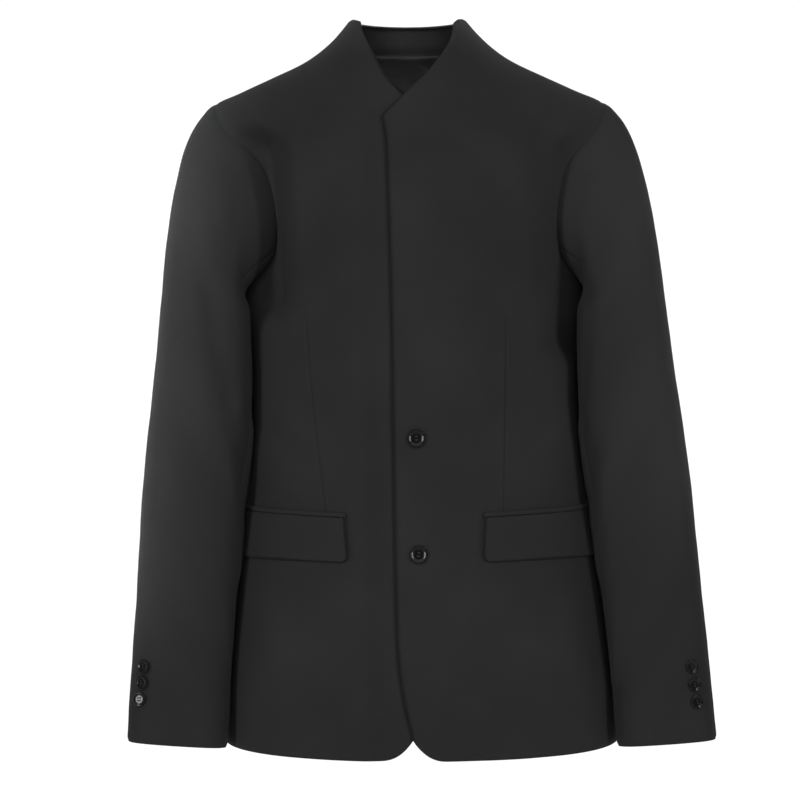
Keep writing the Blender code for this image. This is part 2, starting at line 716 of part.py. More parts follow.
def main():
    for old in list(bpy.data.objects):
        bpy.data.objects.remove(old)
    blazer = bpy.data.objects.new("blazer", None)
    bpy.context.scene.collection.objects.link(blazer)
    wool = material("black_wool", (0.022, 0.022, 0.023), 0.85)
    horn = material("black_button", (0.008, 0.008, 0.009), 0.2)

    for side, word in ((LEFT, "left"), (RIGHT, "right")):
        add_wall(f"front_{word}", front_wall(side), wool, blazer)
        add_wall(f"back_{word}", back_wall(side), wool, blazer)
        add_wall(f"sleeve_{word}_top", sleeve_wall(side, True), wool, blazer)
        add_wall(f"sleeve_{word}_under", sleeve_wall(side, False), wool, blazer)
        flap = pocket_wall(side, FLAP_TOP_Z, FLAP_TOP_Z - FLAP_HEIGHT, FLAP_CLOTH, FLAP_CORNER)
        add_wall(f"pocket_flap_{word}", flap, wool, blazer)
        jet_bottom = FLAP_TOP_Z + SEAM_GAP
        jet = pocket_wall(side, jet_bottom + JET_HEIGHT, jet_bottom, JET_CLOTH, 0.0)
        add_wall(f"pocket_jet_{word}", jet, wool, blazer)
        for i, button in enumerate(CUFF_BUTTONS[side]):
            place = cuff_button_place(button, side)
            add_button(f"cuff_button_{word}_{i + 1}", CUFF_BUTTON_RADIUS, *place, horn, blazer)
    add_wall("collar_back", collar_wall(), wool, blazer)
    add_wall("back_neck_facing", facing_wall(), wool, blazer)
    for i, height in enumerate(FRONT_BUTTON_HEIGHTS):
        place = front_button_place(height)
        add_button(f"front_button_{i + 1}", FRONT_BUTTON_RADIUS, *place, horn, blazer)


main()
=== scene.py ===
"""Looks of the stand collar blazer: cloth shells, sewing, buttons, floor, light and camera.

Metres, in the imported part's frame: +Z up, the front faces -Y, and +X is the wearer's left.
The form's tables repeat the part's, in millimetres, so each shell lies on its solid's form.
"""

import math
from collections import namedtuple

import bmesh
import bpy
import numpy as np
from mathutils import Euler, Matrix, Vector


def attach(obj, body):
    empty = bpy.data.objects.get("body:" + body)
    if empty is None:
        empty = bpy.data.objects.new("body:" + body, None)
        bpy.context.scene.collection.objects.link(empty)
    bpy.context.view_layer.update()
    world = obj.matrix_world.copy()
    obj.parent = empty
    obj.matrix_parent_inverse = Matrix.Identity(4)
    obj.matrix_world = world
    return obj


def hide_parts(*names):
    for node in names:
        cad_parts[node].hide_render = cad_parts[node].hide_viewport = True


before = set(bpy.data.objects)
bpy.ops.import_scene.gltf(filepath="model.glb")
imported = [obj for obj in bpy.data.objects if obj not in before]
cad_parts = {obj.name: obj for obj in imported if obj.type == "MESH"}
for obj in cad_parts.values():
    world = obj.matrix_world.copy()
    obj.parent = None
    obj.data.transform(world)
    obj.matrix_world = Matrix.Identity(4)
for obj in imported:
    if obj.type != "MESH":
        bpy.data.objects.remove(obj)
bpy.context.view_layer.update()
MM = 0.001
LEFT, RIGHT = 1, -1
SIDES = ((LEFT, "left"), (RIGHT, "right"))
FRONT, BACK = "front", "back"

# Cloth and seams, as in the part
BODY_CLOTH = 2.2 * MM
SLEEVE_CLOTH = 1.8 * MM
COLLAR_CLOTH = 3.0 * MM
FACING_CLOTH = 1.0 * MM
FLAP_CLOTH = 1.6 * MM
JET_CLOTH = 1.4 * MM
SEAM_GAP = 0.3 * MM
LAID_ON_GAP = 0.5 * MM

# Heights on the side of the body
HEM_Z = -700 * MM
FRONT_HEM_Z = -711 * MM
UNDERARM_Z = -238 * MM
SHOULDER_Z = -47 * MM
CORNER_TOP_Z = -590 * MM

# Angles round the body: 0 is the centre front, 90 the side, 180 the centre back
SIDE_SEAM = math.radians(96)
SHOULDER_SEAM = math.radians(90)
CENTRE_BACK = math.radians(180)
ARMHOLE_FRONT_SCOOP = math.radians(33)
ARMHOLE_BACK_SCOOP = math.radians(28)
LEADING_EDGE_LIMIT = math.radians(-25)

# By what share the armhole's scoops are deeper towards the underarm
ARMHOLE_LOW_SCOOP = 0.18

# Steps for differences on the form, and how many points a line is read at
STEP = 1e-3
ARRIVE_STEP = 0.01
TUCK_STEP = 0.02
LEVEL_POINTS = 500
ARMHOLE_POINTS = 60
POCKET_LINE_POINTS = 400

# Closure: the wearer's left front laps over the right
LAP_START_X = -60 * MM
LAP_FULL_X = -33 * MM
CROSSING_Z = -43 * MM
CROSSING_SHIFT = 6 * MM
CROSSING_SPREAD = 55 * MM
CORNER_SHIFT = 9 * MM
CORNER_RUN = 34 * MM
CORNER_RISE = 19 * MM
CORNER_CURVE = 2.2
CORNER_LIFT_CURVE = 2.4

# Pockets, on each front
POCKET_FRONT_X = {LEFT: 66.5 * MM, RIGHT: 72.5 * MM}
POCKET_LENGTH = 146 * MM
POCKET_LINE_END = math.pi / 2 + 0.1
FLAP_TOP_Z = -470 * MM
FLAP_HEIGHT = 47 * MM
FLAP_CORNER = 7 * MM
FLAP_SLOPE = 0.055
FLAP_RAKE = 5.5 * MM
FLAP_END_RISE = 3.5 * MM
FLAP_LIFT = 1.1 * MM
JET_HEIGHT = 5 * MM
JET_PUFF = 1.5 * MM

# Buttons
FRONT_BUTTON_RADIUS = 9.0 * MM
CUFF_BUTTON_RADIUS = 7.0 * MM
FRONT_BUTTON_X = 0.0
FRONT_BUTTON_HEIGHTS = (-390 * MM, -506 * MM)
CuffButton = namedtuple("CuffButton", "height angle")
CUFF_BUTTONS = {
    LEFT: (CuffButton(-620, 58), CuffButton(-638, 57), CuffButton(-655, 56)),
    RIGHT: (CuffButton(-618, 51), CuffButton(-634, 50), CuffButton(-651, 48)),
}

# The body's form, a ring for each level from the hem to the collar's top edge
BodyRing = namedtuple(
    "BodyRing", "side_x side_y side_z front_y front_z back_y back_z square"
)
BODY_RINGS = (
    BodyRing(203, 0, -700, -133, -711, 122, -702, 0.05),
    BodyRing(200, 0, -615, -133, -620, 123, -615, 0.05),
    BodyRing(187, 0, -520, -127, -520, 114, -520, 0.05),
    BodyRing(174, 0, -420, -119, -420, 103, -420, 0.05),
    BodyRing(172, 2, -325, -121, -325, 110, -322, 0.03),
    BodyRing(179, 4, -238, -124, -242, 121, -232, 0.0),
    BodyRing(188, 6, -178, -122, -196, 127, -166, -0.02),
    BodyRing(195, 8, -125, -119, -158, 124, -126, -0.03),
    BodyRing(200, 9, -85, -116, -131, 119, -93, -0.03),
    BodyRing(200, 10, -47, -112, -106, 112, -62, -0.03),
    BodyRing(183, 11, -38, -109, -92, 108, -49, -0.03),
    BodyRing(161, 12, -28, -106, -76, 104, -34, -0.03),
    BodyRing(128, 14, -13, -99, -50, 98, -12, -0.02),
    BodyRing(95, 16, 5, -86, -16, 91, 6, 0.0),
    BodyRing(74, 18, 24, -70, 8, 86, 22, 0.0),
    BodyRing(59, 20, 42, -50, 29, 80, 41, 0.0),
)
SHOULDER_RING, NECK_RING, COLLAR_RING = 9, 13, 15
NECK_SEAM_ABOVE_RING = 7 * MM
COLLAR_SEAM_GAP = 1.3 * SEAM_GAP

# The back neck facing: how far round it goes, how low it hangs, and the ridge at its seam
FACING_REACH = 0.9
FACING_DROP = 58 * MM
FACING_END_RISE = 0.35
FACING_OVER_SEAM = 1.5 * MM
FACING_SEAM_RIDGE = 1.6 * MM
FACING_RIDGE_PLACE = 3.0 * MM
FACING_RIDGE_WIDTH = 3.2 * MM

# A front's leading edge, below the collar and along the collar's V
EdgePoint = namedtuple("EdgePoint", "height x")
FRONT_EDGE = (
    EdgePoint(-640, -23),
    EdgePoint(-590, -24),
    EdgePoint(-400, -24),
    EdgePoint(-200, -24),
    EdgePoint(-66, -26),
)
COLLAR_EDGE = (
    EdgePoint(-66, -26),
    EdgePoint(-58, -17),
    EdgePoint(-43, 0),
    EdgePoint(-25, 18),
    EdgePoint(-8, 30),
    EdgePoint(13, 42),
    EdgePoint(27, 48),
    EdgePoint(45, 51),
)

# The sleeve's form below its head, on the wearer's left, from the upper arm to the cuff
SleeveRing = namedtuple("SleeveRing", "height inner_x outer_x middle_y half_depth")
SLEEVE_RINGS = (
    SleeveRing(-262, 161, 258, -26, 65),
    SleeveRing(-330, 162, 265, -40, 60),
    SleeveRing(-455, 173, 279, -50, 52),
    SleeveRing(-558, 182, 287, -57, 45),
    SleeveRing(-661, 191, 295, -63, 38),
    SleeveRing(-698, 195, 298, -65, 36),
)
SLEEVE_SQUARE = 0.05
SLEEVE_RING_TILT = 3.5 * MM
SLEEVE_HEAD_SHARE = 0.36
BODY_CLEARANCE = 4 * MM
CLEARANCE_SOFTNESS = 5 * MM
FRONT_SEAM_ANGLES = (math.radians(120), math.radians(156))
FRONT_SEAM_TURN_SHARE = 0.4
BACK_SEAM_ANGLES = (math.radians(-80), math.radians(16))

# The way a sleeve leaves its armhole, with how it changes from mid height up to the shoulder
LEAVE_OUT, LEAVE_OUT_CHANGE = 0.55, 0.35
LEAVE_DOWN, LEAVE_DOWN_CHANGE = 0.62, -0.20
LEAVE_REACH, LEAVE_REACH_CHANGE = 84 * MM, 54 * MM
LEAVE_FORWARD = 0.35

# Troughs in the body's cloth on one side and face, between two points given as x towards
# that side and height. The part has the first three of each group. A ridge has a depth
# below 0.
BodyFold = namedtuple("BodyFold", "start_x start_z end_x end_z width depth")
BODY_FOLDS = {
    (RIGHT, FRONT): (
        BodyFold(138, -95, 137, -250, 20, 4.5),
        BodyFold(104, -75, 98, -180, 13, 1.6),
        BodyFold(150, -380, 98, -428, 11, 2.2),
        BodyFold(166, -100, 160, -245, 22, 30.0),
        BodyFold(122, -84, 116, -205, 9, -1.2),
        BodyFold(128, -300, 140, -372, 12, 0.9),
        BodyFold(84, -402, 62, -446, 10, 0.5),
        BodyFold(128, -560, 112, -690, 18, 1.2),
        BodyFold(70, -610, 66, -705, 20, -0.7),
    ),
    (RIGHT, BACK): (
        BodyFold(132, -110, 138, -262, 19, 4.5),
        BodyFold(120, -372, 40, -398, 13, 2.2),
        BodyFold(70, -470, 84, -640, 20, 3.0),
        BodyFold(96, -330, 34, -352, 9, 1.0),
        BodyFold(104, -150, 84, -214, 12, 1.3),
        BodyFold(120, -560, 128, -700, 15, 1.6),
        BodyFold(30, -60, 70, -92, 11, 0.8),
    ),
    (LEFT, FRONT): (
        BodyFold(142, -85, 140, -235, 21, 5.0),
        BodyFold(152, -352, 112, -405, 12, 2.0),
        BodyFold(52, -92, 88, -126, 14, 1.5),
        BodyFold(169, -106, 160, -290, 18, 16.0),
        BodyFold(116, -90, 112, -190, 11, -0.9),
        BodyFold(14, -46, 58, -50, 6, 1.5),
        BodyFold(140, -300, 128, -372, 12, 0.8),
        BodyFold(134, -552, 146, -640, 14, 1.2),
        BodyFold(58, -620, 54, -708, 13, 1.0),
        BodyFold(116, -660, 120, -709, 12, 0.8),
    ),
    (LEFT, BACK): (
        BodyFold(134, -118, 136, -250, 20, 4.0),
        BodyFold(126, -395, 52, -412, 12, 2.4),
        BodyFold(58, -500, 66, -660, 22, 3.2),
        BodyFold(88, -342, 30, -362, 10, 1.1),
        BodyFold(100, -140, 80, -226, 13, 1.1),
        BodyFold(112, -590, 122, -700, 16, 1.4),
        BodyFold(36, -64, 80, -100, 12, 0.9),
    ),
}

# Troughs in each sleeve's cloth, between points given as degrees from its outer side towards
# its front, and height. The part has the right one's first five and the left one's first six.
SleeveFold = namedtuple("SleeveFold", "start_angle start_z end_angle end_z width depth")
SLEEVE_FOLDS = {
    RIGHT: (
        SleeveFold(90, -232, 118, -352, 11, 3.0),
        SleeveFold(118, -352, 166, -465, 12, 3.2),
        SleeveFold(60, -440, 104, -520, 10, 2.0),
        SleeveFold(-60, -300, -120, -390, 12, 2.6),
        SleeveFold(-70, -420, -150, -450, 11, 2.6),
        SleeveFold(92, -240, 118, -352, 7, 1.4),
        SleeveFold(118, -352, 158, -450, 7, 1.2),
        SleeveFold(112, -300, 144, -420, 8, -1.2),
        SleeveFold(176, -385, 178, -520, 15, -4.0),
        SleeveFold(118, -120, 132, -200, 8, -2.0),
        SleeveFold(40, -330, 74, -430, 12, 0.8),
        SleeveFold(118, -560, 150, -640, 10, 1.0),
        SleeveFold(20, -130, 44, -210, 14, 0.7),
        SleeveFold(-100, -340, -150, -372, 8, 1.4),
        SleeveFold(-96, -470, -160, -486, 9, 1.2),
    ),
    LEFT: (
        SleeveFold(112, -140, 138, -215, 9, 2.4),
        SleeveFold(66, -98, 92, -150, 10, 2.0),
        SleeveFold(98, -556, 150, -652, 11, 2.4),
        SleeveFold(105, -350, 165, -455, 12, 2.6),
        SleeveFold(-56, -330, -128, -400, 12, 2.6),
        SleeveFold(-66, -440, -140, -478, 11, 2.4),
        SleeveFold(122, -150, 138, -222, 6, 2.4),
        SleeveFold(142, -150, 154, -214, 6, -2.2),
        SleeveFold(78, -95, 86, -150, 9, -1.5),
        SleeveFold(124, -240, 140, -330, 9, 1.6),
        SleeveFold(176, -385, 178, -520, 15, -4.0),
        SleeveFold(84, -400, 112, -500, 10, 0.8),
        SleeveFold(84, -590, 126, -672, 8, -0.7),
        SleeveFold(-104, -352, -152, -384, 8, 1.4),
        SleeveFold(-88, -494, -150, -506, 9, 1.1),
    ),
}
SLEEVE_DEGREE = 0.87 * MM

# Folds die out towards the body's sides, where the fronts and backs are sewn together
FOLD_SIDE_MARGIN = 12 * MM
FOLD_SIDE_FADE = 38 * MM

# Each front's dart, from the chest down to the pocket, as x towards its own side and height
Dart = namedtuple("Dart", "top_x top_z bottom_x bottom_z bow")
DARTS = {
    RIGHT: Dart(109 * MM, -262 * MM, 92 * MM, -465 * MM, 2 * MM),
    LEFT: Dart(93 * MM, -264 * MM, 86 * MM, -465 * MM, 0.5 * MM),
}
DART_DEPTH = 0.9 * MM
DART_WIDTH = 1.0 * MM
DART_TAPER = 30 * MM
DART_PUFF = 0.3
DART_PUFF_PLACE = 3.5 * MM
DART_PUFF_WIDTH = 2.5 * MM

# How the cloth dips at a seam, turns in at a folded edge, and puffs over the sleeve's head
SEAM_DIP = 0.5 * MM
SEAM_DIP_WIDTH = 2.2 * MM
SEAM_UNDERLAP = 1.2 * MM
FOLD_TURN = 1.3 * MM
FOLD_TURN_WIDTH = 2.4 * MM
LAP_ROLL = 4.2 * MM
LAP_ROLL_WIDTH = 3.2 * MM
LAP_HOLLOW = 3.8 * MM
FLAP_ROLL = 2.1 * MM
FLAP_ROLL_WIDTH = 2.0 * MM
POCKET_END_DEPTH = 2.2 * MM
POCKET_END_WIDTH = 1.8 * MM
SLEEVE_TUCK = 0.9 * MM
SLEEVE_TUCK_BACK = 3.0 * MM
SLEEVE_TUCK_RUN = {LEFT: 27 * MM, RIGHT: 44 * MM}
HEAD_PUFF = 0.7 * MM
HEAD_PUFF_PLACE = 9 * MM
HEAD_PUFF_WIDTH = 6 * MM

# The cloth's slight unevenness: wave lengths, and how steep the waves are
RIPPLE_LENGTHS = (150 * MM, 118 * MM, 92 * MM, 71 * MM, 55 * MM, 42 * MM, 31 * MM)
RIPPLE_SLOPE = 0.0017
RIPPLE_SEED = 7

# How finely the shells are cut
CROWDING = 0.72
SKIRT_ROWS = 112
ARMHOLE_ROWS = 54
SHOULDER_ROWS = 56
FRONT_TO_DART_COLUMNS = 64
DART_TO_SIDE_COLUMNS = 54
BACK_COLUMNS = 58
SLEEVE_ROWS = 160
TOP_SLEEVE_COLUMNS = 60
UNDER_SLEEVE_COLUMNS = 44
COLLAR_COLUMNS = 96
COLLAR_ROWS = 22
FACING_ROWS = 16
FLAP_COLUMNS = 72
FLAP_ROWS = 32
JET_ROWS = 8
EDGE_ROUNDING = 0.6 * MM
EDGE_SHARE_OF_CLOTH = 0.4
EDGE_ANGLE = math.radians(60)

# The jacket hangs a little to the wearer's right towards its collar
LEAN = 0.016
LEAN_MIDDLE_Z = -352 * MM


def spline(knots, values, at):
    """A natural cubic through values at the knots, read at the given places."""
    knots = np.asarray(knots, float)
    values = np.asarray(values, float).reshape(len(knots), -1)
    at = np.asarray(at, float)
    step = np.diff(knots)
    slope = np.diff(values, axis=0) / step[:, None]
    system = np.eye(len(knots))
    right = np.zeros_like(values)
    for i in range(1, len(knots) - 1):
        system[i, i - 1 : i + 2] = step[i - 1], 2 * (step[i - 1] + step[i]), step[i]
        right[i] = 6 * (slope[i] - slope[i - 1])
    bend = np.linalg.solve(system, right)
    i = np.clip(np.searchsorted(knots, at) - 1, 0, len(step) - 1)
    h = step[i][..., None]
    a = ((knots[i + 1] - at) / step[i])[..., None]
    b = 1 - a
    line = a * values[i] + b * values[i + 1]
    curve = ((a**3 - a) * bend[i] + (b**3 - b) * bend[i + 1]) * h**2 / 6
    return line + curve


def smoothstep(x):
    x = np.clip(x, 0, 1)
    return x * x * (3 - 2 * x)


def bell(distance, width):
    return np.exp(-((distance / width) ** 2))


def unit(vectors):
    return vectors / np.linalg.norm(vectors, axis=-1, keepdims=True)


def solve(function, low, high, steps=40):
    """Where a rising function crosses zero between two arrays of bounds."""
    for _ in range(steps):
        middle = (low + high) / 2
        under = function(middle) < 0
        low, high = np.where(under, middle, low), np.where(under, high, middle)
    return (low + high) / 2


def oval(angle, square):
    """Sine and cosine of a ring that is squarer than an ellipse."""
    across = (np.sin(angle) + square * np.sin(3 * angle)) / (1 - square)
    along = (np.cos(angle) - square * np.cos(3 * angle)) / (1 - square)
    return across, along


def ring_levels():
    """How far up the cloth each body ring is, as the mean over its side, front and back."""
    rings = np.array(BODY_RINGS) * MM
    sides = rings[:, [0, 1, 2]], rings[:, [3, 4]], rings[:, [5, 6]]
    steps = [np.linalg.norm(np.diff(points, axis=0), axis=1) for points in sides]
    return np.concatenate([[0], np.cumsum(np.mean(steps, axis=0))])


LEVELS = ring_levels()
SHOULDER_LEVEL = LEVELS[SHOULDER_RING]
NECK_SEAM_LEVEL = LEVELS[NECK_RING] + NECK_SEAM_ABOVE_RING
COLLAR_TOP_LEVEL = LEVELS[COLLAR_RING]


def body_columns(level):
    """The body ring's columns at a level, in metres, with the squareness last."""
    columns = np.moveaxis(spline(LEVELS, BODY_RINGS, level), -1, 0)
    return [*(columns[:-1] * MM), columns[-1]]


def body_point(angle, level):
    """A point on the cloth's outer side, on the wearer's left for angles above 0."""
    angle, level = np.broadcast_arrays(np.asarray(angle, float), level)
    side_x, side_y, side_z, front_y, front_z, back_y, back_z, square = body_columns(level)
    across, along = oval(angle, square)
    in_front = np.abs(angle) < math.pi / 2
    reach = np.where(in_front, side_y - front_y, back_y - side_y)
    rise = np.where(in_front, front_z, back_z) - side_z
    return np.stack(
        [side_x * across, side_y - reach * along, side_z + rise * np.cos(angle) ** 2],
        axis=-1,
    )


def normals(surface, u, w):
    """Unit normals of a surface of two parameters, by differences."""
    along_u = surface(u + STEP, w) - surface(u - STEP, w)
    along_w = surface(u, w + STEP) - surface(u, w - STEP)
    return unit(np.cross(along_u, along_w))


def body_patch(angle, level):
    """Points and outward normals on the body's form."""
    return body_point(angle, level), normals(body_point, angle, level)


def level_of(side_height):
    """The level whose side point has this height."""
    levels = np.linspace(0, LEVELS[-1], LEVEL_POINTS)
    return np.interp(side_height, body_columns(levels)[2], levels)


def seam_angle(angle, level):
    """Half the seam gap as an angle round the body."""
    speed = body_point(angle + STEP, level) - body_point(angle - STEP, level)
    return SEAM_GAP / 2 / (np.linalg.norm(speed, axis=-1) / (2 * STEP))


def edge_x(height, side):
    """How far past the centre a front's leading edge is at a height."""
    below = np.array(FRONT_EDGE) * MM
    along_collar = np.array(COLLAR_EDGE) * MM
    x = np.where(
        height < below[-1, 0],
        spline(below[:, 0], below[:, 1], np.maximum(height, below[0, 0]))[..., 0],
        spline(along_collar[:, 0], along_collar[:, 1], height)[..., 0],
    )
    drop = np.clip((CORNER_TOP_Z - height) / (CORNER_TOP_Z - FRONT_HEM_Z - CORNER_RISE), 0, 1)
    corner_x = -CORNER_SHIFT * side
    near = np.clip(1 - np.abs(height - CROSSING_Z) / CROSSING_SPREAD, 0, 1)
    return x + (corner_x - x) * drop**CORNER_CURVE - CROSSING_SHIFT * side * smoothstep(near)


def raised(height, x, side):
    """A row's height near the hem, where the rounded corner lifts the rows above it."""
    run = np.clip(1 - (x + CORNER_SHIFT * side) / CORNER_RUN, 0, 1)
    share = np.clip((height - FRONT_HEM_Z) / (CORNER_TOP_Z - FRONT_HEM_Z), 0, 1)
    return height + CORNER_RISE * run**CORNER_LIFT_CURVE * (1 - share)


def armhole(turn):
    """Angles of the front and back armhole edges and their level. turn runs from 0 at the
    underarm to pi at the shoulder."""
    middle, half = (SHOULDER_Z + UNDERARM_Z) / 2, (SHOULDER_Z - UNDERARM_Z) / 2
    level = level_of(middle - half * np.cos(turn))
    seam = SIDE_SEAM + (SHOULDER_SEAM - SIDE_SEAM) * turn / math.pi
    scoop = np.sin(turn) * (1 + ARMHOLE_LOW_SCOOP * np.cos(turn))
    return seam - ARMHOLE_FRONT_SCOOP * scoop, seam + ARMHOLE_BACK_SCOOP * scoop, level


def armhole_edge(turn):
    """Angle and level of the armhole's edge. turn goes on past pi down the back."""
    in_front = turn < math.pi
    front, back, level = armhole(np.where(in_front, turn, 2 * math.pi - turn))
    return np.where(in_front, front, back), level


def crowded(count, first=True, last=True):
    """Shares from 0 to 1 that crowd towards the ends that are asked for."""
    even = np.linspace(0, 1, count + 1)
    if first and last:
        return even - CROWDING * np.sin(2 * math.pi * even) / (2 * math.pi)
    one_end = even - CROWDING * np.sin(math.pi * even) / math.pi
    return one_end if first else 1 - one_end[::-1]


def panel_rows(top_level):
    """Levels of a body panel's rows and the front and back angles of its side edge."""
    skirt = level_of(HEM_Z + (UNDERARM_Z - HEM_Z) * crowded(SKIRT_ROWS, last=False))[:-1]
    front, back, hole = armhole(np.linspace(0, math.pi, ARMHOLE_ROWS + 1))
    rise = crowded(SHOULDER_ROWS, first=False)[1:]
    over = SHOULDER_LEVEL + (top_level - SHOULDER_LEVEL) * rise
    levels = np.concatenate([skirt, hole, over])
    below, above = np.full(len(skirt), SIDE_SEAM), np.full(len(over), SHOULDER_SEAM)
    return (
        levels,
        np.concatenate([below, front, above]),
        np.concatenate([below, back, above]),
    )


def trough(start, end, width, depth, across, height):
    """The depth of one soft trough at points across and up a surface."""
    run = np.array(end, float) - start
    place = np.stack([across, height], axis=-1) - start
    share = np.clip(place @ run / (run @ run), 0, 1)
    away = np.linalg.norm(place - share[..., None] * run, axis=-1)
    return depth * bell(away, width)


def ripple(point, side):
    """Slight waves in mixed but fixed directions, which run on over every seam."""
    chance = np.random.default_rng(RIPPLE_SEED)
    total = np.zeros(point.shape[:-1])
    for length in RIPPLE_LENGTHS:
        heading = unit(chance.normal(size=3))
        phase = chance.uniform(0, 2 * math.pi)
        run = mirrored(point, side) @ heading
        total += length * np.sin(2 * math.pi * run / length + phase)
    return RIPPLE_SLOPE * total


def body_relief(point, side, face):
    """How far folds, creases and ripples sink the body's cloth on one side and face."""
    x, z = point[..., 0] / MM, point[..., 2] / MM
    sunk = MM * sum(
        trough((f.start_x, f.start_z), (f.end_x, f.end_z), f.width, f.depth, x, z)
        for f in BODY_FOLDS[side, face]
    )
    forward = -point[..., 1] if face == FRONT else point[..., 1]
    off_side = smoothstep((forward - FOLD_SIDE_MARGIN) / FOLD_SIDE_FADE)
    return sunk * off_side + ripple(point, side)


def sleeve_relief(angle, point, side):
    """How far folds, creases and ripples sink the sleeve's cloth."""
    degree = SLEEVE_DEGREE / MM
    z = point[..., 2] / MM
    sunk = np.zeros(z.shape)
    for fold in SLEEVE_FOLDS[side]:
        start = fold.start_angle * degree, fold.start_z
        end = fold.end_angle * degree, fold.end_z
        for whole_turn in (0, -360):
            turn = (np.degrees(angle) + whole_turn) * degree
            sunk += MM * trough(start, end, fold.width, fold.depth, turn, z)
    return sunk + ripple(point, side)


def edge_distances(points):
    """Distances along a grid's rows and columns to its first, last, bottom and top edges."""
    across = np.linalg.norm(np.diff(points, axis=1), axis=-1)
    up = np.linalg.norm(np.diff(points, axis=0), axis=-1)
    first = np.pad(np.cumsum(across, axis=1), ((0, 0), (1, 0)))
    bottom = np.pad(np.cumsum(up, axis=0), ((1, 0), (0, 0)))
    return {
        "first": first,
        "last": first[:, -1:] - first,
        "bottom": bottom,
        "top": bottom[-1:] - bottom,
    }


def edge_dip(points, seams, turn=(FOLD_TURN, FOLD_TURN_WIDTH), under=()):
    """How far the cloth dips at its sewn edges, more where it goes under another piece's
    edge, and turns in at its folded edges."""
    dip = np.zeros(points.shape[:2])
    for name, distance in edge_distances(points).items():
        if name in seams:
            depth = SEAM_DIP + (SEAM_UNDERLAP if name in under else 0)
            dip = np.maximum(dip, depth * bell(distance, SEAM_DIP_WIDTH))
        else:
            dip = np.maximum(dip, turn[0] * bell(distance, turn[1]))
    return dip


def painted_edge_shade(points, edges):
    """How dark painted shade makes the cloth along its edges, standing in for the shadow in the
    crevices there. edges gives each named edge's strength and width."""
    painted_shade = np.zeros(points.shape[:2])
    distances = edge_distances(points)
    for name, (strength, width) in edges.items():
        painted_shade = np.maximum(painted_shade, strength * bell(distances[name], width))
    return painted_shade


def mirrored(points, side):
    return points * np.array([side, 1, 1])


def sunk_in(point, out, sunk, side):
    """Points moved in along their normals, and the normals, both on the side asked for."""
    return mirrored(point - out * sunk[..., None], side), mirrored(out, side)


def leaned(points):
    """Points moved sideways by the jacket's lean."""
    points = np.array(points, float)
    points[..., 0] -= LEAN * (points[..., 2] - LEAN_MIDDLE_Z)
    return points


def dart_x(height, side):
    """Where the dart's line is at a height."""
    dart = DARTS[side]
    share = np.clip((height - dart.bottom_z) / (dart.top_z - dart.bottom_z), 0, 1)
    bow = 4 * dart.bow * share * (1 - share)
    return dart.bottom_x + (dart.top_x - dart.bottom_x) * share + bow


def dart_shares(levels, leading, side_edge, side):
    """How far along each row the dart's line is. Past its ends the last share goes on."""

    def past_dart(angle):
        point = body_point(angle, levels)
        return point[..., 0] - dart_x(point[..., 2], side)

    angle = solve(past_dart, leading, side_edge)
    height = body_point(angle, levels)[..., 2]
    along = (height > DARTS[side].bottom_z) & (height < DARTS[side].top_z)
    share = (angle - leading) / (side_edge - leading)
    return np.interp(levels, levels[along], share[along])


def dart_groove(point, side):
    """The depth of the dart's seam, which fades out at its upper end."""
    dart, z = DARTS[side], point[..., 2]
    away = np.abs(point[..., 0] - dart_x(z, side))
    fade = smoothstep((dart.top_z - z) / DART_TAPER) * (z > dart.bottom_z)
    puff = DART_PUFF * bell(away - DART_PUFF_PLACE, DART_PUFF_WIDTH)
    return DART_DEPTH * fade * (bell(away, DART_WIDTH) - puff)


def lap_depth(x, side):
    """How deep a front lies: the right one goes under the left at the closure."""
    if side == LEFT:
        return np.zeros_like(x)
    under = BODY_CLOTH + SEAM_GAP * 2 + LAP_HOLLOW
    return under * smoothstep((-LAP_START_X - x) / (LAP_FULL_X - LAP_START_X))


def pocket_end_groove(point, side):
    """The shadowed dip beside the flap's front end."""
    below = FLAP_TOP_Z - point[..., 2]
    end_x = POCKET_FRONT_X[side] - FLAP_RAKE * below / FLAP_HEIGHT - POCKET_END_WIDTH / 2
    away = np.abs(point[..., 0] - end_x)
    started = smoothstep((below + JET_HEIGHT + POCKET_END_WIDTH) / (2 * POCKET_END_WIDTH))
    ended = smoothstep((FLAP_HEIGHT - below) / FLAP_CORNER)
    return POCKET_END_DEPTH * started * ended * bell(away, POCKET_END_WIDTH)


def front_relief(point, side):
    grooves = dart_groove(point, side) + pocket_end_groove(point, side)
    return body_relief(point, side, FRONT) + grooves


def lap_roll(point):
    """How the upper front's edge rolls down onto the lower front."""
    from_edge = edge_distances(point)["first"]
    return LAP_ROLL * bell(from_edge, LAP_ROLL_WIDTH)


def leading_angles(levels, side_edge, side):
    """The angles at which a front's rows meet its leading edge."""

    def past_edge(angle):
        point = body_point(angle, levels)
        height = raised(point[..., 2], edge_x(point[..., 2], side), side)
        return point[..., 0] - edge_x(height, side)

    return solve(past_edge, np.full(len(levels), LEADING_EDGE_LIMIT), side_edge)


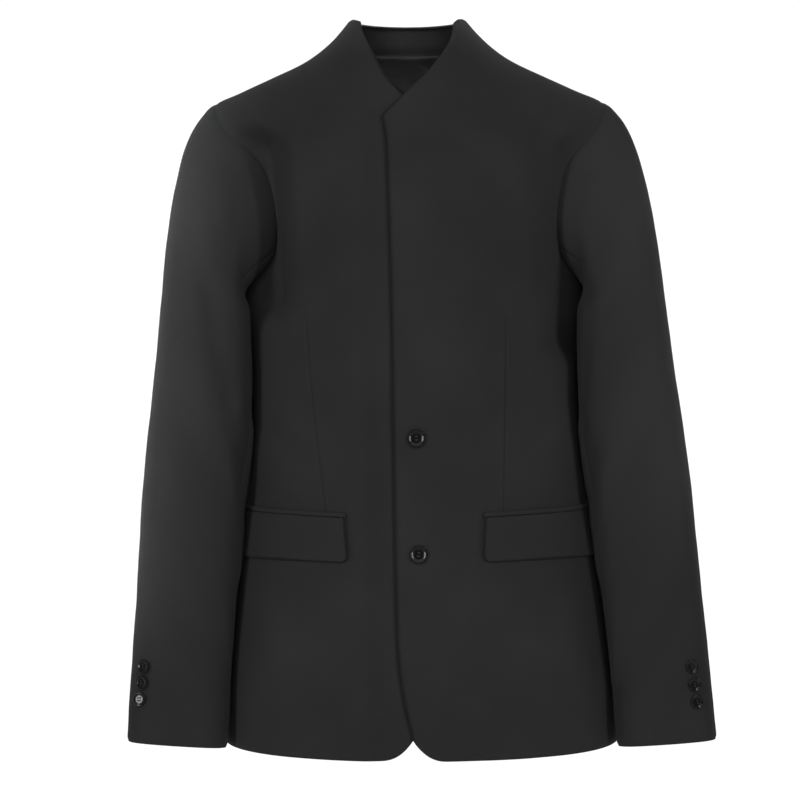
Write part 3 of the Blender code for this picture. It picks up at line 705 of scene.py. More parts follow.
def front_surface(side):
    """Points and outward normals of one front with its half of the collar's front. Its
    columns run along the dart."""
    levels, side_edge, _ = panel_rows(COLLAR_TOP_LEVEL)
    side_edge = side_edge - seam_angle(side_edge, levels)
    leading = leading_angles(levels, side_edge, side)
    dart = dart_shares(levels, leading, side_edge, side)[:, None]
    before = dart * crowded(FRONT_TO_DART_COLUMNS)
    after = dart + (1 - dart) * crowded(DART_TO_SIDE_COLUMNS)[1:]
    share = np.concatenate([before, after], axis=1)
    angle = leading[:, None] + (side_edge - leading)[:, None] * share
    level = np.broadcast_to(levels[:, None], angle.shape)
    rough = body_point(angle, level)
    lift = raised(rough[..., 2], rough[..., 0], side) - rough[..., 2]
    level = level_of(body_columns(level)[2] + lift)
    point, out = body_patch(angle, level)
    sunk = lap_depth(point[..., 0], side) + front_relief(point, side) + edge_dip(point, {"last"})
    if side == LEFT:
        sunk = np.maximum(sunk, lap_roll(point))
    return sunk_in(point, out, sunk, side)


def back_surface(side):
    """One back. The left one goes a little under the right one at the centre seam."""
    levels, _, side_edge = panel_rows(NECK_SEAM_LEVEL)
    side_edge = side_edge + seam_angle(side_edge, levels)
    half_gap = seam_angle(np.full(len(levels), CENTRE_BACK), levels)
    past_gap = -SEAM_UNDERLAP / (SEAM_GAP / 2) if side == LEFT else 1
    centre = CENTRE_BACK - half_gap * past_gap
    angle = side_edge[:, None] + (centre - side_edge)[:, None] * crowded(BACK_COLUMNS)
    level = np.broadcast_to(levels[:, None], angle.shape)
    point, out = body_patch(angle, level)
    under = {"last"} if side == LEFT else ()
    sunk = body_relief(point, side, BACK) + edge_dip(point, {"first", "last", "top"}, under=under)
    return sunk_in(point, out, sunk, side)


def round_the_back(angle, level, depth):
    """Points and normals over both halves of the back, at a depth under the form."""
    half = np.where(angle > math.pi, 2 * math.pi - angle, angle)
    mirror = np.where(angle > math.pi, RIGHT, LEFT)[..., None] * np.array([1, 0, 0])
    mirror = mirror + np.array([0, 1, 1])
    point, out = body_patch(half, level)
    point, out = point * mirror, out * mirror
    return point - out * depth, out


def collar_surface():
    """The stand behind the neck, from one shoulder seam to the other."""
    start_level = NECK_SEAM_LEVEL + COLLAR_SEAM_GAP
    levels = start_level + (COLLAR_TOP_LEVEL - start_level) * crowded(COLLAR_ROWS)
    start = SHOULDER_SEAM + seam_angle(np.full(len(levels), SHOULDER_SEAM), levels)
    angle = start[:, None] + (2 * math.pi - 2 * start)[:, None] * crowded(COLLAR_COLUMNS)
    level = np.broadcast_to(levels[:, None], angle.shape)
    point, out = round_the_back(angle, level, 0.0)
    dip = edge_dip(point, {"first", "last", "bottom"})
    return point - out * dip[..., None], out


def facing_surface():
    """The back neck facing, inside the backs and under the collar's seam."""
    share = 2 * crowded(COLLAR_COLUMNS) - 1
    angle = CENTRE_BACK + share * (CENTRE_BACK - SHOULDER_SEAM) * FACING_REACH
    drop = FACING_DROP * (1 - FACING_END_RISE * share**2)
    down = drop * crowded(FACING_ROWS, first=False)[::-1][:, None]
    level = NECK_SEAM_LEVEL + FACING_OVER_SEAM - down
    above = FACING_SEAM_RIDGE * bell(down - FACING_RIDGE_PLACE, FACING_RIDGE_WIDTH)
    depth = (BODY_CLOTH + SEAM_GAP + above)[..., None]
    return round_the_back(np.broadcast_to(angle, level.shape), level, depth)


def body_half_width(y, height):
    """The body's half width at a depth and height, for keeping the sleeve clear of it."""
    level = level_of(np.minimum(height, UNDERARM_Z))

    def behind(angle):
        return body_point(angle, level)[..., 1] - y

    angle = solve(behind, np.zeros_like(y), np.full_like(y, math.pi), steps=24)
    return body_point(angle, level)[..., 0]


def sleeve_head(turn):
    """Where the sleeve starts round the armhole, and the way it leaves. turn runs from 0 at
    the underarm over the front to pi at the shoulder, and on down the back."""
    edge, level = armhole_edge(turn)
    point, normal = body_patch(edge, level)
    start = point + normal * SEAM_GAP
    up, fore = -np.cos(turn), np.sin(turn)
    out = LEAVE_OUT + LEAVE_OUT_CHANGE * up
    down = LEAVE_DOWN + LEAVE_DOWN_CHANGE * up
    way = unit(np.stack([out, -LEAVE_FORWARD * fore, -down], axis=-1))
    reach = LEAVE_REACH + LEAVE_REACH_CHANGE * up
    return start + way * SEAM_GAP, way * reach[..., None]


def sleeve_tube(angle, share):
    """A point on the sleeve below its head. share runs from 0 at the upper arm to 1."""
    rings = np.array(SLEEVE_RINGS)
    heights = -rings[:, 0]
    down = heights[0] + (heights[-1] - heights[0]) * share
    inner, outer, middle_y, half_depth = np.moveaxis(
        spline(heights, rings[:, 1:] * MM, down), -1, 0
    )
    fore, out = oval(angle, SLEEVE_SQUARE)
    x = (inner + outer) / 2 + (outer - inner) / 2 * out
    y = middle_y - half_depth * fore
    z = -down * MM + SLEEVE_RING_TILT * out
    over = x - body_half_width(y, z) - BODY_CLEARANCE
    eased = (np.sqrt(over**2 + CLEARANCE_SOFTNESS**2) - over) / 2
    return np.stack([x + eased, y, z], axis=-1)


def sleeve_point(angle, run):
    """A point on the left sleeve's outer side. angle is 0 outside and 90 degrees in front,
    and run goes from 0 at the armhole to 1 at the cuff."""
    angle, run = np.broadcast_arrays(np.asarray(angle, float), np.asarray(run, float))
    start, leave = sleeve_head(np.mod(math.pi - angle, 2 * math.pi))
    share = np.clip((run - SLEEVE_HEAD_SHARE) / (1 - SLEEVE_HEAD_SHARE), 0, 1)
    below = sleeve_tube(angle, share)
    arrive = sleeve_tube(angle, np.full_like(angle, ARRIVE_STEP)) - sleeve_tube(angle, 0 * angle)
    length = np.linalg.norm(below - start, axis=-1, keepdims=True)
    arrive = unit(arrive) * length
    t = np.clip(run / SLEEVE_HEAD_SHARE, 0, 1)[..., None]
    head = (
        (2 * t**3 - 3 * t**2 + 1) * start
        + (t**3 - 2 * t**2 + t) * leave
        + (3 * t**2 - 2 * t**3) * below
        + (t**3 - t**2) * arrive
    )
    return np.where(t < 1, head, below)


def sleeve_normals(angle, run):
    inside = np.clip(run, 2 * STEP, 1 - 2 * STEP)
    return normals(sleeve_point, angle, inside)


def without(vectors, axis):
    """Vectors less their part along a unit axis."""
    return vectors - axis * np.sum(vectors * axis, axis=-1, keepdims=True)


def armhole_tuck(turn, out):
    """The way from the armhole's edge under the body's cloth, square to the edge."""
    around = np.linspace(0, 2 * math.pi, ARMHOLE_POINTS, endpoint=False)
    middle = body_point(*armhole_edge(around)).mean(axis=0)
    ahead = body_point(*armhole_edge(np.mod(turn + TUCK_STEP, 2 * math.pi)))
    behind = body_point(*armhole_edge(np.mod(turn - TUCK_STEP, 2 * math.pi)))
    away = body_point(*armhole_edge(turn)) - middle
    return unit(without(without(away, out), unit(ahead - behind)))


def armhole_sink(angle, side):
    """How the sleeve's start moves with the body's folds, and is tucked under its edge."""
    turn = np.mod(math.pi - angle, 2 * math.pi)
    edge, level = armhole_edge(turn)
    point, out = body_patch(edge, level)
    front_sunk, back_sunk = body_relief(point, side, FRONT), body_relief(point, side, BACK)
    sunk = np.where(turn < math.pi, front_sunk, back_sunk)
    return armhole_tuck(turn, out) * SLEEVE_TUCK_BACK - out * (sunk + SLEEVE_TUCK)[..., None]


def sleeve_angles(run, top):
    """Angles of a sleeve half's columns, from seam to seam. The under half goes a little under
    the top half's edges."""
    back = BACK_SEAM_ANGLES[0] + np.diff(BACK_SEAM_ANGLES) * smoothstep(run)
    turned = smoothstep(run / FRONT_SEAM_TURN_SHARE)
    front = FRONT_SEAM_ANGLES[0] + np.diff(FRONT_SEAM_ANGLES) * turned
    columns = TOP_SLEEVE_COLUMNS if top else UNDER_SLEEVE_COLUMNS
    begin, end = (back, front) if top else (front, back + 2 * math.pi)
    speed = sleeve_point(begin + STEP / 2, run) - sleeve_point(begin - STEP / 2, run)
    inset = SEAM_GAP / 2 if top else -SEAM_UNDERLAP
    gap = inset / np.linalg.norm(speed, axis=-1) * STEP
    begin, end = begin + gap, end - gap
    return begin[:, None] + (end - begin)[:, None] * crowded(columns)


def sleeve_surface(side, top):
    """The outer (top) or inner (under) half of a two-piece sleeve."""
    run = crowded(SLEEVE_ROWS)
    angle = sleeve_angles(run, top)
    rows = np.broadcast_to(run[:, None], angle.shape)
    point, out = sleeve_point(angle, rows), sleeve_normals(angle, rows)
    from_armhole = edge_distances(point)["bottom"]
    puff = HEAD_PUFF * bell(from_armhole - HEAD_PUFF_PLACE, HEAD_PUFF_WIDTH)
    puff = puff * (0.5 + 0.5 * np.cos(angle))
    under = () if top else {"first", "last"}
    dip = edge_dip(point, {"first", "last", "bottom"}, under=under)
    by_seam = 1 - smoothstep(from_armhole / SLEEVE_TUCK_RUN[side])
    sunk = sleeve_relief(angle, point, side) * (1 - by_seam) + dip - puff
    point = point + armhole_sink(angle, side) * by_seam[..., None]
    return sunk_in(point, out, sunk, side)


def pocket_grid(side, top, bottom, corner, rows):
    """Angles and levels of a strip on a front that follows the pocket's line."""
    middle = level_of(FLAP_TOP_Z)
    fine = np.linspace(0, POCKET_LINE_END, POCKET_LINE_POINTS)
    line = body_point(fine, middle)
    length = np.concatenate([[0], np.cumsum(np.linalg.norm(np.diff(line, axis=0), axis=1))])
    begin = np.interp(POCKET_FRONT_X[side], line[:, 0], length)
    down = top + (bottom - top) * crowded(rows)
    rake = FLAP_RAKE * (top - down) / FLAP_HEIGHT
    into_corner = np.maximum(bottom + corner - down, 0)
    cut = corner - np.sqrt(np.maximum(corner**2 - into_corner**2, 0))
    near = begin - rake + cut
    far = begin + POCKET_LENGTH - cut
    along = near[:, None] + (far - near)[:, None] * crowded(FLAP_COLUMNS)
    height = down[:, None] + FLAP_SLOPE * (along - begin)
    rise = FLAP_END_RISE * (1 - (along - begin) / POCKET_LENGTH)
    height = height + rise * (top - down)[:, None] / FLAP_HEIGHT
    return np.interp(along, length, fine), level_of(height)


def laid_on_front(angle, level, rise, side):
    """Points and normals of what lies on a front, at a rise off the front's own cloth."""
    point, out = body_patch(angle, level)
    return sunk_in(point, out, body_relief(point, side, FRONT) - rise, side)


def flap_surface(side):
    """A pocket's flap, tucked under its jet and standing off a little at its lower edge."""
    angle, level = pocket_grid(side, FLAP_TOP_Z, FLAP_TOP_Z - FLAP_HEIGHT, FLAP_CORNER, FLAP_ROWS)
    down = np.linspace(0, 1, FLAP_ROWS + 1)[:, None]
    lift = FLAP_LIFT * smoothstep(down) * np.ones_like(angle)
    dip = edge_dip(body_point(angle, level), {"bottom"}, (FLAP_ROLL, FLAP_ROLL_WIDTH))
    return laid_on_front(angle, level, LAID_ON_GAP + FLAP_CLOTH + lift - dip, side)


def jet_surface(side):
    """The jet along a pocket's mouth: a narrow folded strip, fullest along its middle."""
    bottom = FLAP_TOP_Z + SEAM_GAP
    angle, level = pocket_grid(side, bottom + JET_HEIGHT, bottom, 0.0, JET_ROWS)
    down = crowded(JET_ROWS)[:, None]
    puff = JET_PUFF * np.sqrt(np.maximum(4 * down * (1 - down), 0)) * np.ones_like(angle)
    return laid_on_front(angle, level, LAID_ON_GAP + JET_CLOTH - JET_PUFF / 2 + puff, side)


# The dark and the light colour that each material mixes
WOOL_COLOURS = ((0.0070, 0.0070, 0.0073), (0.0225, 0.0225, 0.0230))
BUTTON_COLOURS = ((0.0020, 0.0020, 0.0021), (0.0065, 0.0063, 0.0062))
THREAD_COLOURS = ((0.004, 0.004, 0.004), (0.020, 0.020, 0.021))
FLOOR_COLOURS = ((0.86, 0.86, 0.86), (0.89, 0.89, 0.89))

# Noise in waves a metre, with the range that most of its values lie in
NAP_SCALE = 1400
PATCH_SCALE = 7
STREAK_SCALE = 260
MARK_SCALE = 2600
FLOOR_SCALE = 0.6
NOISE_RANGE = (0.3, 0.7)

# Lengths of the weave's and the thread's bands, and a wave texture's own radians a metre
WEAVE_PERIOD = 0.5 * MM
TWIST_PERIOD = 0.35 * MM
WAVE_RATES = {"X": 20, "Y": 20, "DIAGONAL": 10}

# How much the weave, the nap and uneven patches lighten the wool, and how high the nap stands
WEAVE_SHARE = 0.45
NAP_SHARE = 0.35
PATCH_SHARES = (-0.06, 0.26)
NAP_HEIGHT = 0.5

# Roughness at the noise's low and high end, and the other settings of the shaders
WOOL_ROUGHNESS = (0.74, 0.94)
BUTTON_ROUGHNESS = (0.05, 0.10)
WOOL_SHADER = {
    "Specular IOR Level": 0.08,
    "Sheen Weight": 0.02,
    "Sheen Roughness": 0.45,
    "Sheen Tint": (0.8, 0.8, 0.82, 1),
}
BUTTON_SHADER = {"Specular IOR Level": 0.13}
THREAD_SHADER = {"Roughness": 0.6, "Specular IOR Level": 0.3}
FLOOR_SHADER = {"Roughness": 0.9, "Specular IOR Level": 0.1}
WOOL_BUMP = {"Strength": 0.5, "Distance": 0.15 * MM}
BUTTON_BUMP = {"Strength": 0.04, "Distance": 0.1 * MM}
THREAD_BUMP = {"Strength": 0.5, "Distance": 0.08 * MM}


def add_node(tree, kind, **settings):
    node = tree.nodes.new(kind)
    for name, value in settings.items():
        setattr(node, name, value)
    return node


def new_material(name, coordinates="Object"):
    """A material with its node tree, its shader, and the place that its textures are read at."""
    made = bpy.data.materials.new(name)
    made.use_nodes = True
    tree = made.node_tree
    place = add_node(tree, "ShaderNodeTexCoord").outputs[coordinates]
    return made, tree, tree.nodes["Principled BSDF"], place


def set_inputs(node, values):
    for name, value in values.items():
        node.inputs[name].default_value = value


def noise(tree, place, scale, detail):
    """A noise's value, at a scale in waves a metre."""
    node = add_node(tree, "ShaderNodeTexNoise")
    set_inputs(node, {"Scale": scale, "Detail": detail})
    tree.links.new(place, node.inputs["Vector"])
    return node.outputs["Fac"]


def bands(tree, place, direction, period):
    """Even bands with a period in metres."""
    node = add_node(tree, "ShaderNodeTexWave", bands_direction=direction)
    set_inputs(node, {"Scale": 2 * math.pi / (WAVE_RATES[direction] * period)})
    tree.links.new(place, node.inputs["Vector"])
    return node.outputs["Fac"]


def calculated(tree, operation, *values):
    """A math node of sockets and plain numbers."""
    node = add_node(tree, "ShaderNodeMath", operation=operation)
    for socket, value in zip(node.inputs, values):
        if isinstance(value, (int, float)):
            socket.default_value = value
        else:
            tree.links.new(value, socket)
    return node.outputs["Value"]


def ranged(tree, value, to_range, from_range=NOISE_RANGE):
    """A value moved from one range to another, and kept inside it."""
    node = add_node(tree, "ShaderNodeMapRange")
    tree.links.new(value, node.inputs["Value"])
    set_inputs(node, {"From Min": from_range[0], "From Max": from_range[1]})
    set_inputs(node, {"To Min": to_range[0], "To Max": to_range[1]})
    return node.outputs["Result"]


def paint(tree, shader, share, colours):
    """Give a shader a mix of two colours, by a share."""
    node = add_node(tree, "ShaderNodeMix", data_type="RGBA")
    tree.links.new(share, node.inputs["Factor"])
    sockets = [socket for socket in node.inputs if socket.type == "RGBA"]
    for socket, colour in zip(sockets, colours):
        socket.default_value = (*colour, 1)
    mixed = next(socket for socket in node.outputs if socket.type == "RGBA")
    tree.links.new(mixed, shader.inputs["Base Color"])


def bump(tree, shader, height, settings):
    node = add_node(tree, "ShaderNodeBump")
    set_inputs(node, settings)
    tree.links.new(height, node.inputs["Height"])
    tree.links.new(node.outputs["Normal"], shader.inputs["Normal"])


def plain_weave(tree, place):
    """Crossing threads: high where both threads' bands are high, or both low."""
    warp = bands(tree, place, "X", WEAVE_PERIOD)
    weft = bands(tree, place, "Y", WEAVE_PERIOD)
    low_warp = calculated(tree, "SUBTRACT", 1.0, warp)
    low_weft = calculated(tree, "SUBTRACT", 1.0, weft)
    both_low = calculated(tree, "MULTIPLY", low_warp, low_weft)
    return calculated(tree, "MULTIPLY_ADD", warp, weft, both_low)


def wool_material():
    """Fine black plain-weave suiting with a soft nap, slightly uneven, with painted shade along its
    edges.
    """
    made, tree, shader, place = new_material("black_wool_plain_weave", "UV")
    weave = plain_weave(tree, place)
    nap = noise(tree, place, NAP_SCALE, 3)
    patches = ranged(tree, noise(tree, place, PATCH_SCALE, 3), PATCH_SHARES)
    fibres = calculated(tree, "MULTIPLY_ADD", weave, WEAVE_SHARE, patches)
    shade = calculated(tree, "MULTIPLY_ADD", nap, NAP_SHARE, fibres)
    # Painted shade: this attribute darkens the wool along edges and under the collar's seam, where
    # shadow falls
    painted_shade = add_node(tree, "ShaderNodeAttribute", attribute_name="painted_shade").outputs["Fac"]
    shade = calculated(tree, "SUBTRACT", shade, painted_shade)
    paint(tree, shader, shade, WOOL_COLOURS)
    tree.links.new(ranged(tree, nap, WOOL_ROUGHNESS), shader.inputs["Roughness"])
    set_inputs(shader, WOOL_SHADER)
    height = calculated(tree, "MULTIPLY_ADD", nap, NAP_HEIGHT, weave)
    bump(tree, shader, height, WOOL_BUMP)
    return made


def button_material():
    """Polished black button with faint smoky streaks and fine polishing marks."""
    made, tree, shader, place = new_material("black_button_polish")
    marks = noise(tree, place, MARK_SCALE, 2)
    paint(tree, shader, noise(tree, place, STREAK_SCALE, 4), BUTTON_COLOURS)
    tree.links.new(ranged(tree, marks, BUTTON_ROUGHNESS), shader.inputs["Roughness"])
    set_inputs(shader, BUTTON_SHADER)
    bump(tree, shader, marks, BUTTON_BUMP)
    return made


def thread_material():
    """Twisted black sewing thread."""
    made, tree, shader, place = new_material("black_thread")
    twist = bands(tree, place, "DIAGONAL", TWIST_PERIOD)
    paint(tree, shader, twist, THREAD_COLOURS)
    set_inputs(shader, THREAD_SHADER)
    bump(tree, shader, twist, THREAD_BUMP)
    return made


def floor_material():
    made, tree, shader, place = new_material("pale_floor")
    paint(tree, shader, noise(tree, place, FLOOR_SCALE, 2), FLOOR_COLOURS)
    set_inputs(shader, FLOOR_SHADER)
    return made


# Edges darkened by painted shade, for the shadow in the crevice along them and under the
# collar's seam, with how dark and how wide the painted shade is
FRONT_EDGE_SHADE = {"first": (0.55, 3.0 * MM)}
FLAP_EDGE_SHADE = {"first": (1.5, 1.9 * MM), "last": (1.5, 1.9 * MM), "top": (0.7, 1.8 * MM)}
PAINTED_SHADE_EDGES = {
    "front_left": FRONT_EDGE_SHADE,
    "front_right": FRONT_EDGE_SHADE,
    "collar_back": {"bottom": (1.3, 8.0 * MM)},
    "pocket_flap_left": FLAP_EDGE_SHADE,
    "pocket_flap_right": FLAP_EDGE_SHADE,
}


def link(made):
    bpy.context.scene.collection.objects.link(made)
    return made


def faces_of_grid(rows, columns, flipped):
    index = np.arange(rows * columns).reshape(rows, columns)
    corners = [index[:-1, :-1], index[:-1, 1:], index[1:, 1:], index[1:, :-1]]
    if flipped:
        corners.reverse()
    return np.stack(corners, axis=-1).reshape(-1, 4)


def faces_in(points, out):
    """Whether a grid's faces, taken row by row, look against its outward normals."""
    i, j = points.shape[0] // 2, points.shape[1] // 2
    across = points[i, j + 1] - points[i, j]
    along = points[i + 1, j] - points[i, j]
    return np.cross(across, along) @ out[i, j] < 0


def cloth_mesh(node, surface, cloth):
    """A fine sheet on the form, with each point's place on the cloth for the weave, and with the
    painted shade along its edges noted for the cloth's colour."""
    points, out = surface
    rows, columns = points.shape[:2]
    faces = faces_of_grid(rows, columns, faces_in(points, out))
    mesh = bpy.data.meshes.new(f"{node}_cloth")
    mesh.from_pydata(leaned(points).reshape(-1, 3).tolist(), [], faces.tolist())
    distances = edge_distances(points)
    place = np.stack([distances["first"], distances["bottom"]], axis=-1).reshape(-1, 2)
    mesh.uv_layers.new(name="cloth").data.foreach_set("uv", place[faces].ravel())
    # Painted shade along the edges, kept as a point attribute that darkens the wool
    painted_shade = painted_edge_shade(points, PAINTED_SHADE_EDGES.get(node, {}))
    mesh.attributes.new("painted_shade", "FLOAT", "POINT").data.foreach_set("value", painted_shade.ravel())
    mesh.materials.append(cloth)
    mesh.shade_smooth()
    return mesh


def add_piece(node, surface, thick, cloth):
    """A cloth piece: a fine sheet, given its thickness inwards and soft edges."""
    made = link(bpy.data.objects.new(f"{node}_cloth", cloth_mesh(node, surface, cloth)))
    wall = made.modifiers.new("thickness", "SOLIDIFY")
    wall.thickness = thick
    wall.offset = -1
    edge = made.modifiers.new("soft_edge", "BEVEL")
    edge.width = min(EDGE_ROUNDING, thick * EDGE_SHARE_OF_CLOTH)
    edge.segments = 2
    edge.limit_method = "ANGLE"
    edge.angle_limit = EDGE_ANGLE
    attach(made, "root")
    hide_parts(node)
    return made


def add_cloth(node, surface, thick, cloth):
    """A cloth piece, made as add_piece makes it."""
    made = add_piece(node, surface, thick, cloth)


# A button's turned profile from its back's middle over the rim to its sunk middle, as shares
# of its radius
ButtonRing = namedtuple("ButtonRing", "radius height")
BUTTON_RINGS = (
    ButtonRing(0.72, 0.0),
    ButtonRing(0.90, 0.045),
    ButtonRing(0.97, 0.11),
    ButtonRing(1.0, 0.20),
    ButtonRing(0.985, 0.27),
    ButtonRing(0.94, 0.325),
    ButtonRing(0.89, 0.342),
    ButtonRing(0.865, 0.340),
    ButtonRing(0.845, 0.336),
    ButtonRing(0.80, 0.327),
    ButtonRing(0.78, 0.320),
    ButtonRing(0.69, 0.282),
    ButtonRing(0.60, 0.244),
    ButtonRing(0.58, 0.238),
    ButtonRing(0.55, 0.237),
    ButtonRing(0.42, 0.237),
)
BUTTON_SIDES = 64
HOLE_RADIUS = 0.105
HOLE_SPREAD = 0.19
HOLE_SIDES = 20
SHARP_ANGLE = math.radians(38)


def mesh_of(builder, name):
    """The mesh that a builder has made, with the builder put away."""
    mesh = bpy.data.meshes.new(name)
    builder.to_mesh(mesh)
    builder.free()
    return mesh


def lathe_mesh(name, radius):
    """The button's turned body."""
    builder = bmesh.new()
    rings = []
    for ring in BUTTON_RINGS:
        circle = bmesh.ops.create_circle(
            builder,
            segments=BUTTON_SIDES,
            radius=ring.radius * radius,
            matrix=Matrix.Translation((0, 0, ring.height * radius)),
        )
        rings.append(circle["verts"])
    for low, high in zip(rings, rings[1:]):
        for i in range(BUTTON_SIDES):
            j = (i + 1) % BUTTON_SIDES
            builder.faces.new((low[i], low[j], high[j], high[i]))
    builder.faces.new(rings[0])
    builder.faces.new(rings[-1])
    bmesh.ops.recalc_face_normals(builder, faces=builder.faces)
    return mesh_of(builder, name)


def hole_places(radius):
    """The four holes' middles, in reading order."""
    spread = HOLE_SPREAD * radius
    return [(x * spread, y * spread) for y in (1, -1) for x in (-1, 1)]


def hole_cutter(radius):
    builder = bmesh.new()
    for x, y in hole_places(radius):
        bmesh.ops.create_cone(
            builder,
            cap_ends=True,
            segments=HOLE_SIDES,
            radius1=HOLE_RADIUS * radius,
            radius2=HOLE_RADIUS * radius,
            depth=radius,
            matrix=Matrix.Translation((x, y, 0)),
        )
    return link(bpy.data.objects.new("holes", mesh_of(builder, "holes")))


def button_mesh(name, radius, polish):
    """A four-hole button as one mesh."""
    body = link(bpy.data.objects.new(name, lathe_mesh(name, radius)))
    cutter = hole_cutter(radius)
    cut = body.modifiers.new("holes", "BOOLEAN")
    cut.object = cutter
    cut.solver = "EXACT"
    graph = bpy.context.evaluated_depsgraph_get()
    mesh = bpy.data.meshes.new_from_object(body.evaluated_get(graph))
    bpy.data.objects.remove(cutter)
    bpy.data.objects.remove(body)
    mesh.shade_smooth()
    mesh.set_sharp_from_angle(angle=SHARP_ANGLE)
    mesh.materials.clear()
    mesh.materials.append(polish)
    return mesh


def tube(path, radius, sides=8):
    """Points and faces of a closed tube along a path."""
    path = np.asarray(path, float)
    along = unit(np.gradient(path, axis=0))
    spare = np.where(np.abs(along[:, 2:3]) < 0.9, [[0.0, 0.0, 1.0]], [[0.0, 1.0, 0.0]])
    across = unit(np.cross(along, spare))
    over = np.cross(across, along)
    turn = np.arange(sides)[:, None] * 2 * math.pi / sides
    ring = np.cos(turn) * across[:, None] + np.sin(turn) * over[:, None]
    points = (path[:, None] + radius * ring).reshape(-1, 3)
    faces = []
    for i in range(len(path) - 1):
        for j in range(sides):
            k = (j + 1) % sides
            low, high = i * sides, (i + 1) * sides
            faces.append((low + j, low + k, high + k, high + j))
    last = (len(path) - 1) * sides
    faces.append(tuple(range(sides)))
    faces.append(tuple(last + j for j in reversed(range(sides))))
    return points, faces


def joined_tubes(name, paths, radius, thread):
    """Several tubes as one mesh."""
    points, faces = [], []
    for path in paths:
        start = sum(len(p) for p in points)
        more, sides = tube(path, radius)
        points.append(more)
        faces += [tuple(start + i for i in face) for face in sides]
    mesh = bpy.data.meshes.new(name)
    mesh.from_pydata(np.concatenate(points).tolist(), [], faces)
    builder = bmesh.new()
    builder.from_mesh(mesh)
    bmesh.ops.recalc_face_normals(builder, faces=builder.faces)
    builder.to_mesh(mesh)
    builder.free()
    mesh.shade_smooth()
    mesh.materials.append(thread)
    return mesh


# A button's thread, as a share of the button's radius, and its strands' places and rises, as
# shares of the thread's own thickness. The ends, past a share of the way, go down the holes.
THREAD_RADIUS = 0.026
THREAD_STRANDS = (-1.7, 0.0, 1.7)
THREAD_POINTS = 9
THREAD_HUMP = 1.5
THREAD_LIFT = 0.4
THREAD_END_DROP = 2.5
THREAD_END_SHARE = 0.95


def button_thread_mesh(name, radius, thread):
    """Two rows of strands, each from one hole over to the next."""
    floor = BUTTON_RINGS[-1].height * radius
    thickness = THREAD_RADIUS * radius
    turn = np.linspace(0, math.pi, THREAD_POINTS)
    at_end = np.abs(np.cos(turn)) > THREAD_END_SHARE
    rise = THREAD_HUMP * np.sin(turn) - THREAD_END_DROP * at_end + THREAD_LIFT
    z = floor + rise * thickness
    paths = []
    holes = hole_places(radius)
    for (x0, y0), (x1, _) in (holes[:2], holes[2:]):
        for strand in THREAD_STRANDS:
            x = (x0 + x1) / 2 - (x1 - x0) / 2 * np.cos(turn)
            y = np.full_like(x, y0 + strand * thickness)
            paths.append(np.stack([x, y, z], axis=-1))
    return joined_tubes(name, paths, thickness, thread)


# Angles between which a place on the front is looked for
FRONT_SEARCH = (-0.5, 0.9)


def front_place(x, height):
    """Point and outward normal on the left front's form at an x and a height."""
    level = level_of(height)
    low, high = np.array(FRONT_SEARCH)
    angle = solve(lambda a: body_point(a, level)[..., 0] - x, low, high)
    return body_patch(angle, level)


def cuff_place(button, side):
    """Point and outward normal on a sleeve's form at a cuff button."""
    angle = np.array(math.radians(button.angle))
    run = solve(
        lambda share: button.height * MM - sleeve_point(angle, share)[..., 2],
        np.array(SLEEVE_HEAD_SHARE),
        np.array(1.0),
    )
    return mirrored(sleeve_point(angle, run), side), mirrored(sleeve_normals(angle, run), side)


# How far each button is turned about its own axis, in degrees
FRONT_BUTTON_TURNS = (5, -9)
CUFF_BUTTON_TURNS = {LEFT: (-12, 6, 14), RIGHT: (10, -6, 3)}

# How far a right cuff button is turned on its thread towards the front, in degrees. Below 0 it
# is turned away. A turned one stands off by this share of its radius times the turn's sine.
BUTTON_LEANS = {
    "cuff_button_right_1": -11,
    "cuff_button_right_2": -11,
    "cuff_button_right_3": 14.6,
}
LEAN_SHARE_OF_RADIUS = 0.75


def add_button(node, mesh, thread_mesh, place, turn):
    """A button where its node is, with its thread, turned a little about its own axis."""
    point, out = place
    out = Vector(out)
    spin = Matrix.Rotation(math.radians(turn), 4, "Z")
    turned = math.radians(BUTTON_LEANS.get(node, 0))
    lean = Matrix.Rotation(turned, 4, "Z")
    stand = lean @ out.to_track_quat("Z", "Y").to_matrix().to_4x4() @ spin
    rise = SEAM_GAP + CUFF_BUTTON_RADIUS * LEAN_SHARE_OF_RADIUS * math.sin(abs(turned))
    matrix = Matrix.Translation(Vector(leaned(point)) + out * rise) @ stand
    for name, data, slot in (
        (f"{node}_turned", mesh, "black_button"),
        (f"{node}_thread", thread_mesh, "black_wool"),
    ):
        made = link(bpy.data.objects.new(name, data))
        made.matrix_world = matrix
        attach(made, "root")
        if data is mesh:
            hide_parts(node)


# A buttonhole round its slit, and a stitch's path as its reach outwards and its rise off the
# cloth, in millimetres
BUTTONHOLE_START = -3 * MM
BUTTONHOLE_LENGTH = 12 * MM
BUTTONHOLE_HALF_WIDTH = 1.0 * MM
BUTTONHOLE_STITCHES = 76
STITCH_RADIUS = 0.24 * MM
STITCH_PATH = ((-0.5, -0.2), (-0.2, 0.22), (0.4, 0.25), (0.9, -0.15))


def buttonhole_line(share):
    """A stadium round the slit, as offsets from the button's middle, and the way outwards."""
    straight, half = BUTTONHOLE_LENGTH, BUTTONHOLE_HALF_WIDTH
    whole = 2 * straight + 2 * math.pi * half
    run = share * whole
    if run < straight:
        return (run, half), (0, 1)
    run -= straight
    if run < math.pi * half:
        turn = run / half
        way = math.sin(turn), math.cos(turn)
        return (straight + half * way[0], half * way[1]), way
    run -= math.pi * half
    if run < straight:
        return (straight - run, -half), (0, -1)
    turn = (run - straight) / half
    way = -math.sin(turn), -math.cos(turn)
    return (half * way[0], half * way[1]), way


